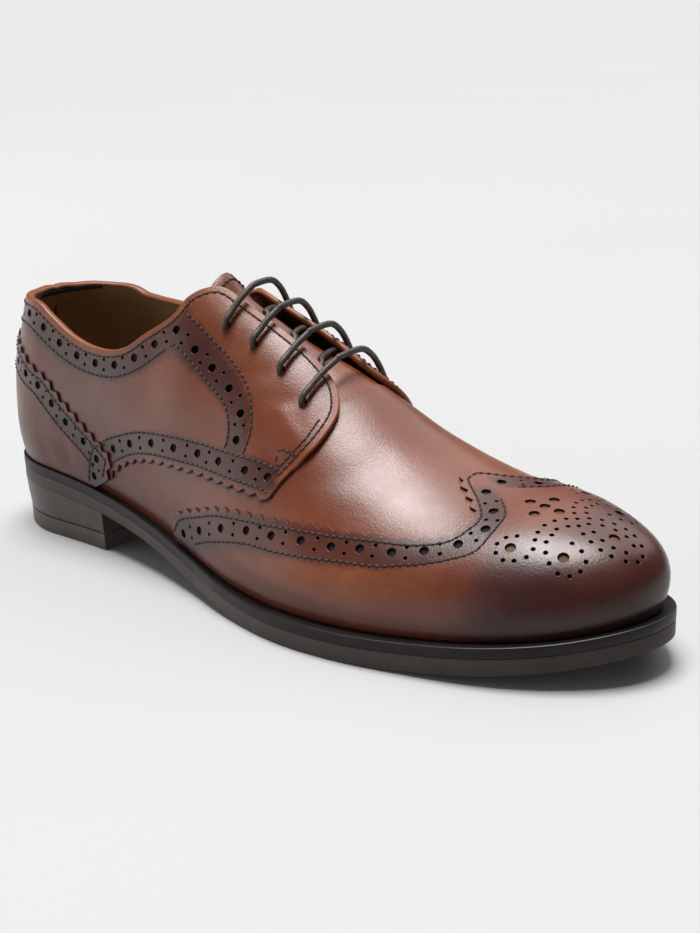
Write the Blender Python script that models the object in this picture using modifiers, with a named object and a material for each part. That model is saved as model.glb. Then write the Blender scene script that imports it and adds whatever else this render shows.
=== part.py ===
# A man's wing-tip derby shoe for the right foot, in brown leather on a dark stacked sole.
# Metres. Toe along +X, the wearer's left along +Y, up along +Z, origin at the middle of the heel's flat bottom.
# Inside the shape functions x is measured from the back of the heel.
import math

import bpy
import numpy as np
from mathutils import Vector
from mathutils.geometry import delaunay_2d_cdt

LENGTH = 0.303            # outsole, heel to toe
BALL_BREADTH = 0.104      # outsole across the ball of the foot
INSTEP = 0.076            # scale for every height of the upper above its feather line
HEEL_RISE = 0.0195        # heel seat above the ball
TOE_SPRING = 0.0095
SOLE_EDGE = 0.0094        # welt and outsole together under the ball
WALL = 0.0024             # leather and lining of the upper
GAP = 0.0003              # between pieces that meet

HEEL_CENTRE = 0.119*LENGTH
TOE_CENTRE = 0.825*LENGTH
HEEL_ROUND = 0.119*LENGTH
TOE_ROUND = 0.178*LENGTH
BREAST = 0.231*LENGTH
TOE_POWER = 2.15
TOP_POWER = 2.35

WELT_THICKNESS = 0.0032
WELT_GRIP = 0.0004        # welt's inner edge beyond the upper's wall
TOP_PIECE = 0.0066
HEEL_TAPER = 0.0025
TUCK = 0.0018             # how far the upper draws in at the feather line
INSOLE_PROUD = 0.0016
EDGE_ROUND = 0.0007

OVERLAY_LIFT = 0.0009
OVERLAY_LEATHER = 0.0011
FACING_LEATHER = 0.0024
TONGUE_DROP = 0.0013      # below the inside of the upper
TONGUE_LEATHER = 0.0018

LACE_RADIUS = 0.0012
EYELET_RADIUS = 0.0020
EYELETS = ((0.420, 0.0157), (0.463, 0.0162), (0.509, 0.0185), (0.551, 0.0225))  # share of length, from the crest
LACE_ARCH = 0.0016
LACE_RETURN = ((0.420, 0.0187), (0.463, 0.0191), (0.509, 0.0215), (0.551, 0.0225))  # where the hidden end runs

CHART = 0.080             # flat chart: this far from its spine is the feather line
SIDE_RIBS = 20
FAN_RIBS = 12
ROOT_STEPS = 34
PATCH_STEP = 0.0074

# share of length, lateral half breadth, medial half breadth (shares of BALL_BREADTH)
OUTLINE = (
    (0.00, 0.310, 0.310),
    (0.12, 0.310, 0.310),
    (0.23, 0.316, 0.308),
    (0.33, 0.356, 0.294),
    (0.43, 0.425, 0.306),
    (0.52, 0.505, 0.352),
    (0.62, 0.556, 0.420),
    (0.70, 0.544, 0.450),
    (0.79, 0.486, 0.430),
    (0.86, 0.430, 0.380),
    (0.93, 0.376, 0.325),
    (1.00, 0.320, 0.275),
)
# share of length, share of HEEL_RISE, share of TOE_SPRING, sole edge as a share of SOLE_EDGE
PROFILE = (
    (0.00, 1.00, 0.00, 0.90),
    (0.12, 0.93, 0.00, 0.90),
    (0.23, 0.74, 0.00, 0.87),
    (0.33, 0.51, 0.00, 0.85),
    (0.43, 0.23, 0.00, 0.93),
    (0.52, 0.055, 0.00, 0.98),
    (0.60, 0.00, 0.00, 1.00),
    (0.68, 0.00, 0.00, 1.00),
    (0.76, 0.00, 0.07, 1.00),
    (0.86, 0.00, 0.33, 0.98),
    (0.93, 0.00, 0.62, 0.96),
    (1.00, 0.00, 1.05, 0.95),
)
# share of length, crest height (share of INSTEP), crest shift to medial (share of BALL_BREADTH),
# power down the side, power across the top, height of the fullest level (share of INSTEP)
SECTIONS = (
    (0.00, 1.42, 0.000, 2.40, 2.00, 0.200),
    (0.12, 1.42, 0.000, 2.30, 1.90, 0.200),
    (0.23, 1.40, 0.000, 2.15, 1.80, 0.190),
    (0.33, 1.30, 0.012, 1.75, 1.80, 0.170),
    (0.43, 1.15, 0.030, 1.42, 1.80, 0.150),
    (0.52, 1.01, 0.048, 1.38, 1.82, 0.140),
    (0.60, 0.825, 0.066, 1.48, 1.85, 0.125),
    (0.68, 0.645, 0.078, 1.68, 1.90, 0.115),
    (0.76, 0.525, 0.082, 2.00, 1.90, 0.110),
    (0.86, 0.448, 0.074, 2.20, 2.10, 0.105),
    (0.93, 0.408, 0.055, 2.30, 2.20, 0.100),
    (1.00, 0.385, 0.040, 2.40, 2.30, 0.090),
)
# share of length, how far the upper stands inside the sole's edge (metres)
LEDGE = ((0.0, 0.0022), (0.25, 0.0022), (0.45, 0.0030), (0.60, 0.0048), (0.85, 0.0055), (1.0, 0.0055))
# height above the feather line (share of INSTEP), forward lean of the back of the heel (metres)
BACK = ((0.0, 0.0), (0.2, -0.0012), (0.45, 0.0004), (0.75, 0.0062), (1.0, 0.0130), (1.5, 0.0240))

# Collar edge of the upper: share of length, then how far down from crest to feather line, lateral and medial
TOP_LINE = (
    (0.119, 0.247, 0.262),
    (0.150, 0.277, 0.268),
    (0.182, 0.304, 0.264),
    (0.214, 0.317, 0.257),
    (0.250, 0.314, 0.246),
    (0.282, 0.288, 0.228),
    (0.312, 0.232, 0.202),
    (0.340, 0.190, 0.182),
)
# The same round the heel: share of the quarter turn from the side to the back
HEEL_LINE = ((0.35, 0.239, 0.250), (0.7, 0.238, 0.243), (1.0, 0.240, 0.240))
# Throat edge under the facings: share of length, distance from the crest (metres)
THROAT = (
    (0.380, 0.0205),
    (0.420, 0.0206),
    (0.463, 0.0209),
    (0.510, 0.0236),
    (0.551, 0.0265),
    (0.572, 0.0235),
    (0.584, 0.0130),
    (0.588, 0.0000),
)

# Outlines below: share of length, share of the way from crest to feather line, in order round the piece
FACING_LINE = (
    (0.345, 0.170), (0.358, 0.120), (0.374, 0.085), (0.392, 0.062), (0.420, 0.060), (0.470, 0.062),
    (0.515, 0.072), (0.545, 0.085), (0.568, 0.110), (0.585, 0.170), (0.592, 0.250), (0.592, 0.380),
    (0.583, 0.480), (0.566, 0.570), (0.545, 0.592), (0.515, 0.592), (0.496, 0.555), (0.488, 0.480),
    (0.476, 0.390), (0.455, 0.310), (0.425, 0.260), (0.385, 0.225), (0.355, 0.200),
)
TONGUE_LINE = (
    (0.385, 0.000), (0.390, 0.120), (0.410, 0.215), (0.460, 0.235), (0.520, 0.260), (0.565, 0.300),
    (0.605, 0.300), (0.620, 0.180), (0.624, 0.000),
)
WING_LINE = (
    (0.733, 0.000), (0.736, 0.045), (0.746, 0.110), (0.762, 0.200), (0.777, 0.290), (0.786, 0.370),
    (0.786, 0.440), (0.781, 0.520), (0.768, 0.572), (0.742, 0.618), (0.700, 0.650), (0.647, 0.695),
    (0.580, 0.735), (0.500, 0.785), (0.448, 0.830), (0.400, 0.890), (0.378, 0.965),
)
COUNTER_LINE = (
    (0.236, 0.972), (0.243, 0.900), (0.248, 0.830), (0.224, 0.785), (0.201, 0.730), (0.175, 0.666),
    (0.150, 0.586), (0.124, 0.510),
)
COUNTER_BACK = ((0.15, 0.445), (0.45, 0.375), (0.8, 0.340), (1.0, 0.335))  # share of the turn to the back
HEM = 0.972               # overlays stop this share of the way down


def through(rows, column=1, level=False):
    """A smooth curve through a column of a table; level keeps flat stretches flat."""
    xs = np.array([row[0] for row in rows], float)
    ys = np.array([row[column] for row in rows], float)
    slopes = np.gradient(ys, xs)
    if level:
        steps = np.diff(ys)/np.diff(xs)
        slopes[1:-1][steps[:-1]*steps[1:] <= 0] = 0

    def value(x):
        x = np.clip(x, xs[0], xs[-1])
        i = np.clip(np.searchsorted(xs, x) - 1, 0, len(xs) - 2)
        h = xs[i + 1] - xs[i]
        t = (x - xs[i])/h
        return ((2*t**3 - 3*t**2 + 1)*ys[i] + (t**3 - 2*t**2 + t)*h*slopes[i]
                + (3*t**2 - 2*t**3)*ys[i + 1] + (t**3 - t**2)*h*slopes[i + 1])
    return value


lateral_share = through(OUTLINE, 1)
medial_share = through(OUTLINE, 2)
rise_share = through(PROFILE, 1, True)
spring_share = through(PROFILE, 2, True)
edge_share = through(PROFILE, 3, True)
crest_share = through(SECTIONS, 1)
shift_share = through(SECTIONS, 2)
side_power = through(SECTIONS, 3)
top_power = through(SECTIONS, 4)
full_share = through(SECTIONS, 5)
ledge = through(LEDGE)
lean = through(BACK)
return_away = through(LACE_RETURN)

ORIGIN_X = (HEEL_TAPER + BREAST)/2


def feather_z(x):
    """Height of the line where the upper meets the welt."""
    share = x/LENGTH
    return SOLE_EDGE + HEEL_RISE*rise_share(share) + TOE_SPRING*spring_share(share)


def plan_half(x, medial, inset, back):
    """Half breadth of the outline drawn in by inset, or by back round the heel."""
    share = x/LENGTH
    body = np.where(medial, medial_share(share), lateral_share(share))*BALL_BREADTH - inset
    u = np.clip((HEEL_ROUND - x)/(HEEL_ROUND - back), 0, 1)
    w = np.clip((x - (LENGTH - TOE_ROUND))/(TOE_ROUND - inset), 0, 1)
    return body*np.sqrt(1 - u**2)*(1 - w**TOE_POWER)**(1/TOE_POWER)


def levels(x):
    """Heights of feather line, fullest level and crest."""
    share = x/LENGTH
    low = feather_z(x)
    w = np.clip((x - (LENGTH - TOE_ROUND))/(TOE_ROUND - ledge(share)), 0, 1)
    full = low + INSTEP*full_share(share)
    drop = (1 - w**TOP_POWER)**(1/TOP_POWER)
    return low, full, full + INSTEP*(crest_share(share) - full_share(share))*drop


def crest_y(x, z):
    low, full, top = levels(x)
    return BALL_BREADTH*shift_share(x/LENGTH)*np.clip((z - low)/np.maximum(top - low, 1e-4), 0, 1)


def last_half(x, z, medial):
    """Half breadth of the upper's outside at height z."""
    share = x/LENGTH
    low, full, top = levels(x)
    above = np.clip((z - full)/np.maximum(top - full, 1e-6), 0, 1)
    below = np.clip((full - z)/(full - low), 0, 1.3)
    inset = ledge(share) + TUCK*below**2
    half = plan_half(x, medial, inset, inset + lean((z - low)/INSTEP))
    return half*(1 - above**side_power(share))**(1/top_power(share))


def outside(point):
    x, y, z = point[..., 0], point[..., 1], point[..., 2]
    within = np.clip(x, 0, LENGTH)
    across = y - crest_y(within, z)
    top = levels(within)[2]
    return (np.abs(across) >= last_half(within, z, across > 0)) | (z >= top) | (x <= 0) | (x >= LENGTH)


def bisect(test, high):
    """Largest distance, rib by rib, that still passes the test."""
    low = np.zeros(high.shape)
    for _ in range(ROOT_STEPS):
        middle = (low + high)/2
        out = test(middle)
        high = np.where(out, middle, high)
        low = np.where(out, low, middle)
    return low


def rib(centre, ex, ey, down):
    """Point on the upper: centre on the spine, plan direction, down from 0 at the crest to 1 at the feather line."""
    low, full, top = levels(centre)
    base = low + 0.38*(np.minimum(top, 1.25*INSTEP) - low)

    def past_feather(reach):
        x = np.clip(centre + ex*reach, 0, LENGTH)
        y = ey*reach
        return (np.abs(y) >= last_half(x, feather_z(x), y > 0)) | (centre + ex*reach <= 0) \
            | (centre + ex*reach >= LENGTH)
    foot = bisect(past_feather, np.full(centre.shape, LENGTH/2))
    foot_z = feather_z(np.clip(centre + ex*foot, 0, LENGTH))
    lowest = np.arctan2(foot_z - base, foot)
    angle = math.pi/2 + (lowest - math.pi/2)*down
    origin = np.stack([centre, 0*centre, base], -1)
    ray = np.stack([np.cos(angle)*ex, np.cos(angle)*ey, np.sin(angle)], -1)
    reach = bisect(lambda t: outside(origin + ray*t[..., None]), np.full(centre.shape, LENGTH))
    return origin + ray*reach[..., None]


def surface(a, b, lift):
    """Chart point to the upper's outside, moved out by lift along the normal."""
    def point(u, v):
        centre = np.clip(u, HEEL_CENTRE, TOE_CENTRE)
        dx = u - centre
        reach = np.maximum(np.hypot(dx, v), 1e-7)
        ey = np.where(np.abs(v) + np.abs(dx) < 1e-6, 1.0, v/reach)
        return rib(centre, dx/reach, ey, reach/CHART)
    step = 0.0004
    normal = np.cross(point(a + step, b) - point(a - step, b), point(a, b + step) - point(a, b - step))
    normal /= np.linalg.norm(normal, axis=-1)[..., None]
    return point(a, b) + normal*lift


def chart(share, down, side):
    return share*LENGTH, side*down*CHART


def heel_chart(turn, down, side):
    """Chart point round the heel: turn from 0 at the side to 1 at the back."""
    angle = turn*math.pi/2
    return HEEL_CENTRE - down*CHART*math.sin(angle), side*down*CHART*math.cos(angle)


def toe_chart(turn, down, side):
    angle = turn*math.pi/2
    return TOE_CENTRE + down*CHART*math.sin(angle), side*down*CHART*math.cos(angle)


bpy.context.scene.unit_settings.system = "METRIC"
for old in list(bpy.data.objects):
    bpy.data.objects.remove(old, do_unlink=True)
shoe = bpy.data.collections.new("brogue_shoe")
tools = bpy.data.collections.new("cutters")
bpy.context.scene.collection.children.link(shoe)
bpy.context.scene.collection.children.link(tools)


def material(name, colour, roughness):
    made = bpy.data.materials.new(name)
    made.use_nodes = True
    shader = made.node_tree.nodes["Principled BSDF"]
    shader.inputs["Base Color"].default_value = (*colour, 1)
    shader.inputs["Roughness"].default_value = roughness
    return made


def add(name, points, faces, home=shoe):
    mesh = bpy.data.meshes.new(name)
    shifted = np.asarray(points, float) - np.array([ORIGIN_X, 0, 0])
    mesh.from_pydata([tuple(p) for p in shifted], [], [tuple(int(i) for i in f) for f in faces])
    thing = bpy.data.objects.new(name, mesh)
    home.objects.link(thing)
    return thing


def paint(thing, colour, roughness):
    thing.data.materials.clear()
    thing.data.materials.append(material(thing.name + "_material", colour, roughness))
    return thing


def stations():
    """Ribs in a ring: up the lateral side, round the toe, down the medial side, round the heel."""
    ribs = []
    for i in range(SIDE_RIBS):
        ribs.append((HEEL_CENTRE + (TOE_CENTRE - HEEL_CENTRE)*i/SIDE_RIBS, 0.0, -1.0))
    for i in range(FAN_RIBS):
        angle = -math.pi/2 + math.pi*i/FAN_RIBS
        ribs.append((TOE_CENTRE, math.cos(angle), math.sin(angle)))
    for i in range(SIDE_RIBS):
        ribs.append((TOE_CENTRE + (HEEL_CENTRE - TOE_CENTRE)*i/SIDE_RIBS, 0.0, 1.0))
    for i in range(FAN_RIBS):
        angle = math.pi/2 + math.pi*i/FAN_RIBS
        ribs.append((HEEL_CENTRE, math.cos(angle), math.sin(angle)))
    return tuple(np.array(column) for column in zip(*ribs))


CENTRE, EX, EY = stations()


def rim(inset):
    """Distance along each rib to the sole's outline drawn in by inset."""
    def past(reach):
        x = np.clip(CENTRE + EX*reach, 0, LENGTH)
        y = EY*reach
        return (np.abs(y) >= plan_half(x, y > 0, inset, inset)) | (CENTRE + EX*reach <= 0) \
            | (CENTRE + EX*reach >= LENGTH)
    return bisect(past, np.full(CENTRE.shape, LENGTH/2))


def wall_foot():
    """Distance along each rib to the inside of the upper's wall at the feather line."""
    def past(reach):
        x = np.clip(CENTRE + EX*reach, 0, LENGTH)
        y = EY*reach
        inset = ledge(x/LENGTH) + TUCK + WALL
        return (np.abs(y) >= plan_half(x, y > 0, inset, inset)) | (CENTRE + EX*reach <= 0) \
            | (CENTRE + EX*reach >= LENGTH)
    return bisect(past, np.full(CENTRE.shape, LENGTH/2))


def loft(name, section, ring):
    """Join one section per rib. A section is a list of (reach, height) columns; a ring closes on itself."""
    count = len(CENTRE)
    points = []
    for reach, height in section:
        x = CENTRE + EX*reach
        points.append(np.stack([x, EY*reach, height(x)], -1))
    grid = np.stack(points, 1)
    width = grid.shape[1]
    faces = []
    for i in range(count):
        j = (i + 1) % count
        for k in range(width if ring else width - 1):
            m = (k + 1) % width
            faces.append((i*width + k, i*width + m, j*width + m, j*width + k))
    thing = add(name, grid.reshape(-1, 3), faces)
    return welded(thing)


def welded(thing):
    bpy.context.view_layer.objects.active = thing
    thing.select_set(True)
    bpy.ops.object.mode_set(mode="EDIT")
    bpy.ops.mesh.select_all(action="SELECT")
    bpy.ops.mesh.remove_doubles(threshold=1e-6)
    bpy.ops.mesh.dissolve_degenerate(threshold=1e-7)
    bpy.ops.mesh.normals_make_consistent(inside=False)
    bpy.ops.object.mode_set(mode="OBJECT")
    thing.select_set(False)
    return thing


def slab(name, top, bottom, outer, foot_outer):
    """A sole layer: outer and foot_outer are its edge at the top and the bottom."""
    section = [(0*outer, top), (0.5*outer, top), (outer - EDGE_ROUND, top),
               (outer, lambda x: top(x) - EDGE_ROUND), (foot_outer, lambda x: bottom(x) + EDGE_ROUND),
               (foot_outer - EDGE_ROUND, bottom), (0.5*foot_outer, bottom), (0*outer, bottom)]
    return loft(name, section, False)


def outsole_top(x):
    return feather_z(x) - WELT_THICKNESS - GAP


def outsole_bottom(x):
    return feather_z(x) - SOLE_EDGE*edge_share(x/LENGTH)


edge = rim(0.0)
foot = wall_foot()
welt_inner = foot - WELT_GRIP
welt_section = [(edge - EDGE_ROUND, feather_z), (edge, lambda x: feather_z(x) - EDGE_ROUND),
                (edge, lambda x: feather_z(x) - WELT_THICKNESS + EDGE_ROUND),
                (edge - EDGE_ROUND, lambda x: feather_z(x) - WELT_THICKNESS),
                (welt_inner, lambda x: feather_z(x) - WELT_THICKNESS), (welt_inner, feather_z)]
welt = paint(loft("welt", welt_section, True), (0.035, 0.027, 0.024), 0.45)
outsole = paint(slab("outsole", outsole_top, outsole_bottom, edge, rim(0.0006)), (0.045, 0.040, 0.038), 0.5)

insole_edge = welt_inner - GAP
insole_section = [(0*foot, lambda x: feather_z(x) + INSOLE_PROUD),
                  (0.5*foot, lambda x: feather_z(x) + INSOLE_PROUD),
                  (insole_edge - 0.0009, lambda x: feather_z(x) + INSOLE_PROUD),
                  (insole_edge - 0.0004, lambda x: feather_z(x) + INSOLE_PROUD - EDGE_ROUND),
                  (insole_edge, lambda x: feather_z(x) - EDGE_ROUND),
                  (insole_edge, lambda x: feather_z(x) - WELT_THICKNESS),
                  (0.5*foot, lambda x: feather_z(x) - WELT_THICKNESS),
                  (0*foot, lambda x: feather_z(x) - WELT_THICKNESS)]
insole = paint(loft("insole", insole_section, False), (0.42, 0.30, 0.19), 0.7)


def cut(thing, cutter, operation):
    cutter.hide_render = True
    cutter.display_type = "WIRE"
    boolean = thing.modifiers.new(operation.lower(), "BOOLEAN")
    boolean.operation = operation
    boolean.solver = "EXACT"
    boolean.object = cutter
    return thing


def box(name, low, high):
    corners = [(x, y, z) for x in (low[0], high[0]) for y in (low[1], high[1]) for z in (low[2], high[2])]
    faces = [(0, 1, 3, 2), (4, 6, 7, 5), (0, 4, 5, 1), (2, 3, 7, 6), (0, 2, 6, 4), (1, 5, 7, 3)]
    return add(name, corners, faces, tools)


heel_side = box("heel_side", (-LENGTH, -LENGTH, -LENGTH), (BREAST, LENGTH, LENGTH))
# the heel draws in most at the back and least at the breast
taper = HEEL_TAPER*(0.35 + 0.65*np.clip(-EX, 0, 1))
heel_bottom = TOP_PIECE + GAP
heel = slab("heel", lambda x: np.maximum(outsole_bottom(x) - GAP, heel_bottom + 0.003), lambda x: 0*x + heel_bottom,
            rim(0.0006) - 0.0002, edge - 0.75*taper)
paint(cut(heel, heel_side, "INTERSECT"), (0.045, 0.038, 0.035), 0.45)
top_piece = slab("top_piece", lambda x: 0*x + TOP_PIECE, lambda x: 0*x, edge - 0.75*taper, edge - taper)
paint(cut(top_piece, heel_side, "INTERSECT"), (0.035, 0.030, 0.028), 0.6)


def thicken(thing, thickness, offset):
    solid = thing.modifiers.new("thickness", "SOLIDIFY")
    solid.thickness = thickness
    solid.offset = offset
    solid.use_even_offset = True
    solid.use_quality_normals = True
    solid.use_rim = True
    return thing


def applied(thing):
    """Settle the modifiers and bring the wall's foot level with the welt."""
    graph = bpy.context.evaluated_depsgraph_get()
    mesh = bpy.data.meshes.new_from_object(thing.evaluated_get(graph))
    thing.modifiers.clear()
    thing.data = mesh
    for vertex in mesh.vertices:
        floor = float(feather_z(np.array(vertex.co.x + ORIGIN_X))) + GAP
        vertex.co.z = max(vertex.co.z, floor)
    return thing


def smooth_loop(points, step):
    """A closed curve through chart points, as evenly spaced points."""
    points = np.array(points, float)
    before = np.roll(points, 1, 0)
    after = np.roll(points, -1, 0)
    later = np.roll(points, -2, 0)
    made = []
    for p0, p1, p2, p3 in zip(before, points, after, later):
        pieces = max(1, int(round(np.linalg.norm(p2 - p1)/step)))
        for i in range(pieces):
            t = i/pieces
            made.append(0.5*(2*p1 + (p2 - p0)*t + (2*p0 - 5*p1 + 4*p2 - p3)*t**2 + (3*p1 - p0 - 3*p2 + p3)*t**3))
    return np.array(made)


def inside(loop, points):
    x, y = points[:, 0][:, None], points[:, 1][:, None]
    x1, y1 = loop[:, 0], loop[:, 1]
    x2, y2 = np.roll(x1, -1), np.roll(y1, -1)
    crosses = ((y1 > y) != (y2 > y)) & (x < (x2 - x1)*(y - y1)/np.where(y2 == y1, 1e-12, y2 - y1) + x1)
    return crosses.sum(1) % 2 == 1


def patch(name, outline, lift, leather, hole=(), side=1):
    """A piece of leather of even thickness on the upper's own function, cut to a chart outline."""
    loop = smooth_loop(outline, PATCH_STEP)
    inner = smooth_loop(hole, PATCH_STEP) if len(hole) else np.zeros((0, 2))
    low, high = loop.min(0), loop.max(0)
    rows = np.arange(low[1], high[1], PATCH_STEP*0.87)
    seeds = []
    for number, v in enumerate(rows):
        for u in np.arange(low[0] + (number % 2)*PATCH_STEP/2, high[0], PATCH_STEP):
            seeds.append((u, v))
    seeds = np.array(seeds)
    seeds = seeds[inside(loop, seeds)]
    if len(inner):
        seeds = seeds[~inside(inner, seeds)]
    border = np.concatenate([loop, inner])
    near = np.linalg.norm(seeds[:, None] - border[None], axis=2).min(1)
    flat = np.concatenate([border, seeds[near > 0.55*PATCH_STEP]])
    count = len(loop)
    edges = [(i, (i + 1) % count) for i in range(count)]
    edges += [(count + i, count + (i + 1) % len(inner)) for i in range(len(inner))]
    verts, _, faces, _, _, _ = delaunay_2d_cdt([Vector(p) for p in flat], edges, [], 1, 1e-9)
    flat = np.array([tuple(v) for v in verts])
    faces = np.array([tuple(face) for face in faces])
    if len(inner):
        faces = faces[~inside(inner, flat[faces].mean(1))]
    thing = add(name, surface(flat[:, 0], flat[:, 1], lift), faces)
    return thicken(welded_open(thing), leather, side)


def welded_open(thing):
    """Face every triangle outward."""
    mesh = thing.data
    flips = [face.index for face in mesh.polygons if face.normal.dot(outward(face.center)) < 0]
    if len(flips) > len(mesh.polygons)/2:
        mesh.flip_normals()
    return thing


def outward(centre):
    x = min(max(centre.x + ORIGIN_X, HEEL_CENTRE), TOE_CENTRE) - ORIGIN_X
    return centre - Vector((x, 0, 0.4*INSTEP))


def facing_outline(side):
    return [chart(share, down, side) for share, down in FACING_LINE]


def down_at(share, away):
    """How far down from the crest line a point lies that is away from it across the shoe."""
    share, away = np.array(share, float), np.array(away, float)
    side = np.where(away >= 0, 1.0, -1.0)
    x = share*LENGTH

    def past(down):
        point = rib(x, 0*x, side, down)
        return side*(point[:, 1] - crest_y(point[:, 0], point[:, 2])) >= np.abs(away)
    return side*bisect(past, 0*x + 0.6)


def crest_frames(share, away):
    """Points on the upper's function measured across from the crest (medial positive), with outward normals."""
    x = np.array(share, float)*LENGTH
    across = down_at(share, away)*CHART
    base = surface(x, across, 0.0)
    tip = surface(x, across, LACE_RADIUS)
    return base, (tip - base)/LACE_RADIUS


def collar_outline():
    """The open edge: from the back of the heel forward round the throat and back."""
    shares = [share for share, away in THROAT]
    loop = []
    for side in (-1, 1):
        downs = np.abs(down_at(shares, [side*away for share, away in THROAT]))
        column = 1 if side < 0 else 2
        half = [heel_chart(row[0], row[column], side) for row in HEEL_LINE[::-1]]
        half += [chart(row[0], row[column], side) for row in TOP_LINE]
        half += [chart(share, float(down), side) for share, down in zip(shares, downs)]
        loop += half if side < 0 else half[-2:0:-1]
    return loop


def foot_outline():
    """The feather line on both sides and round toe and heel."""
    span = TOE_CENTRE - HEEL_CENTRE
    sides = [(HEEL_CENTRE + span*i/SIDE_RIBS)/LENGTH for i in range(1, SIDE_RIBS)]
    turns = [i/FAN_RIBS for i in range(FAN_RIBS + 1)]
    loop = [chart(share, 1.0, -1) for share in sides]
    loop += [toe_chart(turn, 1.0, -1) for turn in turns] + [toe_chart(turn, 1.0, 1) for turn in turns[-2::-1]]
    loop += [chart(share, 1.0, 1) for share in sides[::-1]]
    loop += [heel_chart(turn, 1.0, 1) for turn in turns] + [heel_chart(turn, 1.0, -1) for turn in turns[-2::-1]]
    return loop


upper = applied(patch("upper", foot_outline(), 0.0, WALL, collar_outline(), -1))
paint(upper, (0.26, 0.095, 0.04), 0.38)


def rod(name, base, direction, radius, reach):
    bpy.ops.mesh.primitive_cylinder_add(vertices=14, radius=radius, depth=2*reach)
    thing = bpy.context.active_object
    thing.name = name
    thing.location = Vector(base - np.array([ORIGIN_X, 0, 0]))
    thing.rotation_mode = "QUATERNION"
    thing.rotation_quaternion = Vector(direction).to_track_quat("Z", "Y")
    for home in list(thing.users_collection):
        home.objects.unlink(thing)
    tools.objects.link(thing)
    return thing


eyelet_shares = [share for share, away in EYELETS]
eyelet_aways = [away for share, away in EYELETS]
for side, word in ((-1, "lateral"), (1, "medial")):
    facing = patch("facing_" + word, facing_outline(side), OVERLAY_LIFT, FACING_LEATHER)
    places, ways = crest_frames(eyelet_shares, [side*away for away in eyelet_aways])
    for number, (place, way) in enumerate(zip(places, ways)):
        cut(facing, rod("punch_%s_%d" % (word, number), place, way, EYELET_RADIUS, 0.006), "DIFFERENCE")
    paint(facing, (0.33, 0.12, 0.05), 0.36)


def mirrored(line):
    """An outline drawn for one side, closed over the crest to the other."""
    lateral = [chart(share, down, -1) for share, down in line]
    medial = [chart(share, down, 1) for share, down in line if down > 0]
    return lateral + medial[::-1]


tongue = paint(patch("tongue", mirrored(TONGUE_LINE)[::-1], -WALL - TONGUE_DROP - TONGUE_LEATHER, TONGUE_LEATHER),
               (0.22, 0.085, 0.04), 0.45)


def cap_outline():
    """Wing line on both sides and the hem round the toe."""
    lateral = [chart(share, down, -1) for share, down in WING_LINE]
    medial = [chart(share, down, 1) for share, down in WING_LINE if down > 0]
    last_share = WING_LINE[-1][0]
    hems = [last_share + (TOE_CENTRE/LENGTH - last_share)*i/16 for i in range(1, 16)]
    up_side = [chart(share, HEM, -1) for share in hems]
    toe_turns = [i/8 for i in range(0, 9)]
    front = [toe_chart(turn, HEM, -1) for turn in toe_turns]
    front += [toe_chart(turn, HEM, 1) for turn in toe_turns[-2::-1]]
    down_side = [chart(share, HEM, 1) for share in hems[::-1]]
    return lateral + up_side + front + down_side + medial[::-1]


wing_cap = paint(patch("wing_cap", cap_outline(), OVERLAY_LIFT, OVERLAY_LEATHER), (0.20, 0.07, 0.032), 0.36)


def counter_outline():
    lateral = [chart(share, down, -1) for share, down in COUNTER_LINE]
    over = [heel_chart(turn, down, -1) for turn, down in COUNTER_BACK]
    back = [heel_chart(turn, down, 1) for turn, down in COUNTER_BACK[-2::-1]]
    medial = [chart(share, down, 1) for share, down in COUNTER_LINE[::-1]]
    hems = [COUNTER_LINE[0][0] + (HEEL_CENTRE/LENGTH - COUNTER_LINE[0][0])*i/5 for i in range(1, 5)]
    turns = [i/7 for i in range(0, 8)]
    return (lateral + over + back + medial + [chart(share, HEM, 1) for share in hems]
            + [heel_chart(turn, HEM, 1) for turn in turns] + [heel_chart(turn, HEM, -1) for turn in turns[-2::-1]]
            + [chart(share, HEM, -1) for share in hems[::-1]])


counter = paint(patch("heel_counter", counter_outline(), OVERLAY_LIFT, OVERLAY_LEATHER), (0.24, 0.085, 0.04), 0.38)


BAR_STEPS = 9
HIDDEN_STEPS = 8
OVER = OVERLAY_LIFT + FACING_LEATHER + LACE_RADIUS + GAP + 0.0005
UNDER = -0.0011


def lace_course():
    """Four bars over the tongue joined by hidden diagonals; both ends stop inside the top pair of eyelets."""
    stops = []
    for number, (share, away) in enumerate(EYELETS):
        stops.append((share, -away, UNDER))
        for i in range(BAR_STEPS + 1):
            t = i/BAR_STEPS
            stops.append((share, away*(2*t - 1), OVER + LACE_ARCH*math.sin(math.pi*t)**2))
        stops.append((share, away, UNDER))
        if number + 1 < len(EYELETS):
            next_share, next_away = EYELETS[number + 1]
            for i in range(1, HIDDEN_STEPS):
                t = i/HIDDEN_STEPS
                stops.append((share + (next_share - share)*t, away + (-next_away - away)*t, UNDER))
    low, high = EYELETS[0][0], EYELETS[-1][0]
    for i in range(1, HIDDEN_STEPS + 1):
        share = high + (low - high)*i/HIDDEN_STEPS
        stops.append((share, float(return_away(share)), UNDER))
    shares, aways, lifts = (np.array(column) for column in zip(*stops))
    base, way = crest_frames(shares, aways)
    return base + way*lifts[:, None]


curve = bpy.data.curves.new("lace", "CURVE")
curve.dimensions = "3D"
curve.bevel_depth = LACE_RADIUS
curve.bevel_resolution = 2
curve.use_fill_caps = True
line = curve.splines.new("POLY")
course = lace_course()
line.points.add(len(course) - 1)
for spot, position in zip(line.points, course - np.array([ORIGIN_X, 0, 0])):
    spot.co = (*position, 1)
lace = bpy.data.objects.new("lace", curve)
shoe.objects.link(lace)
paint(lace, (0.045, 0.036, 0.030), 0.55)
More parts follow.
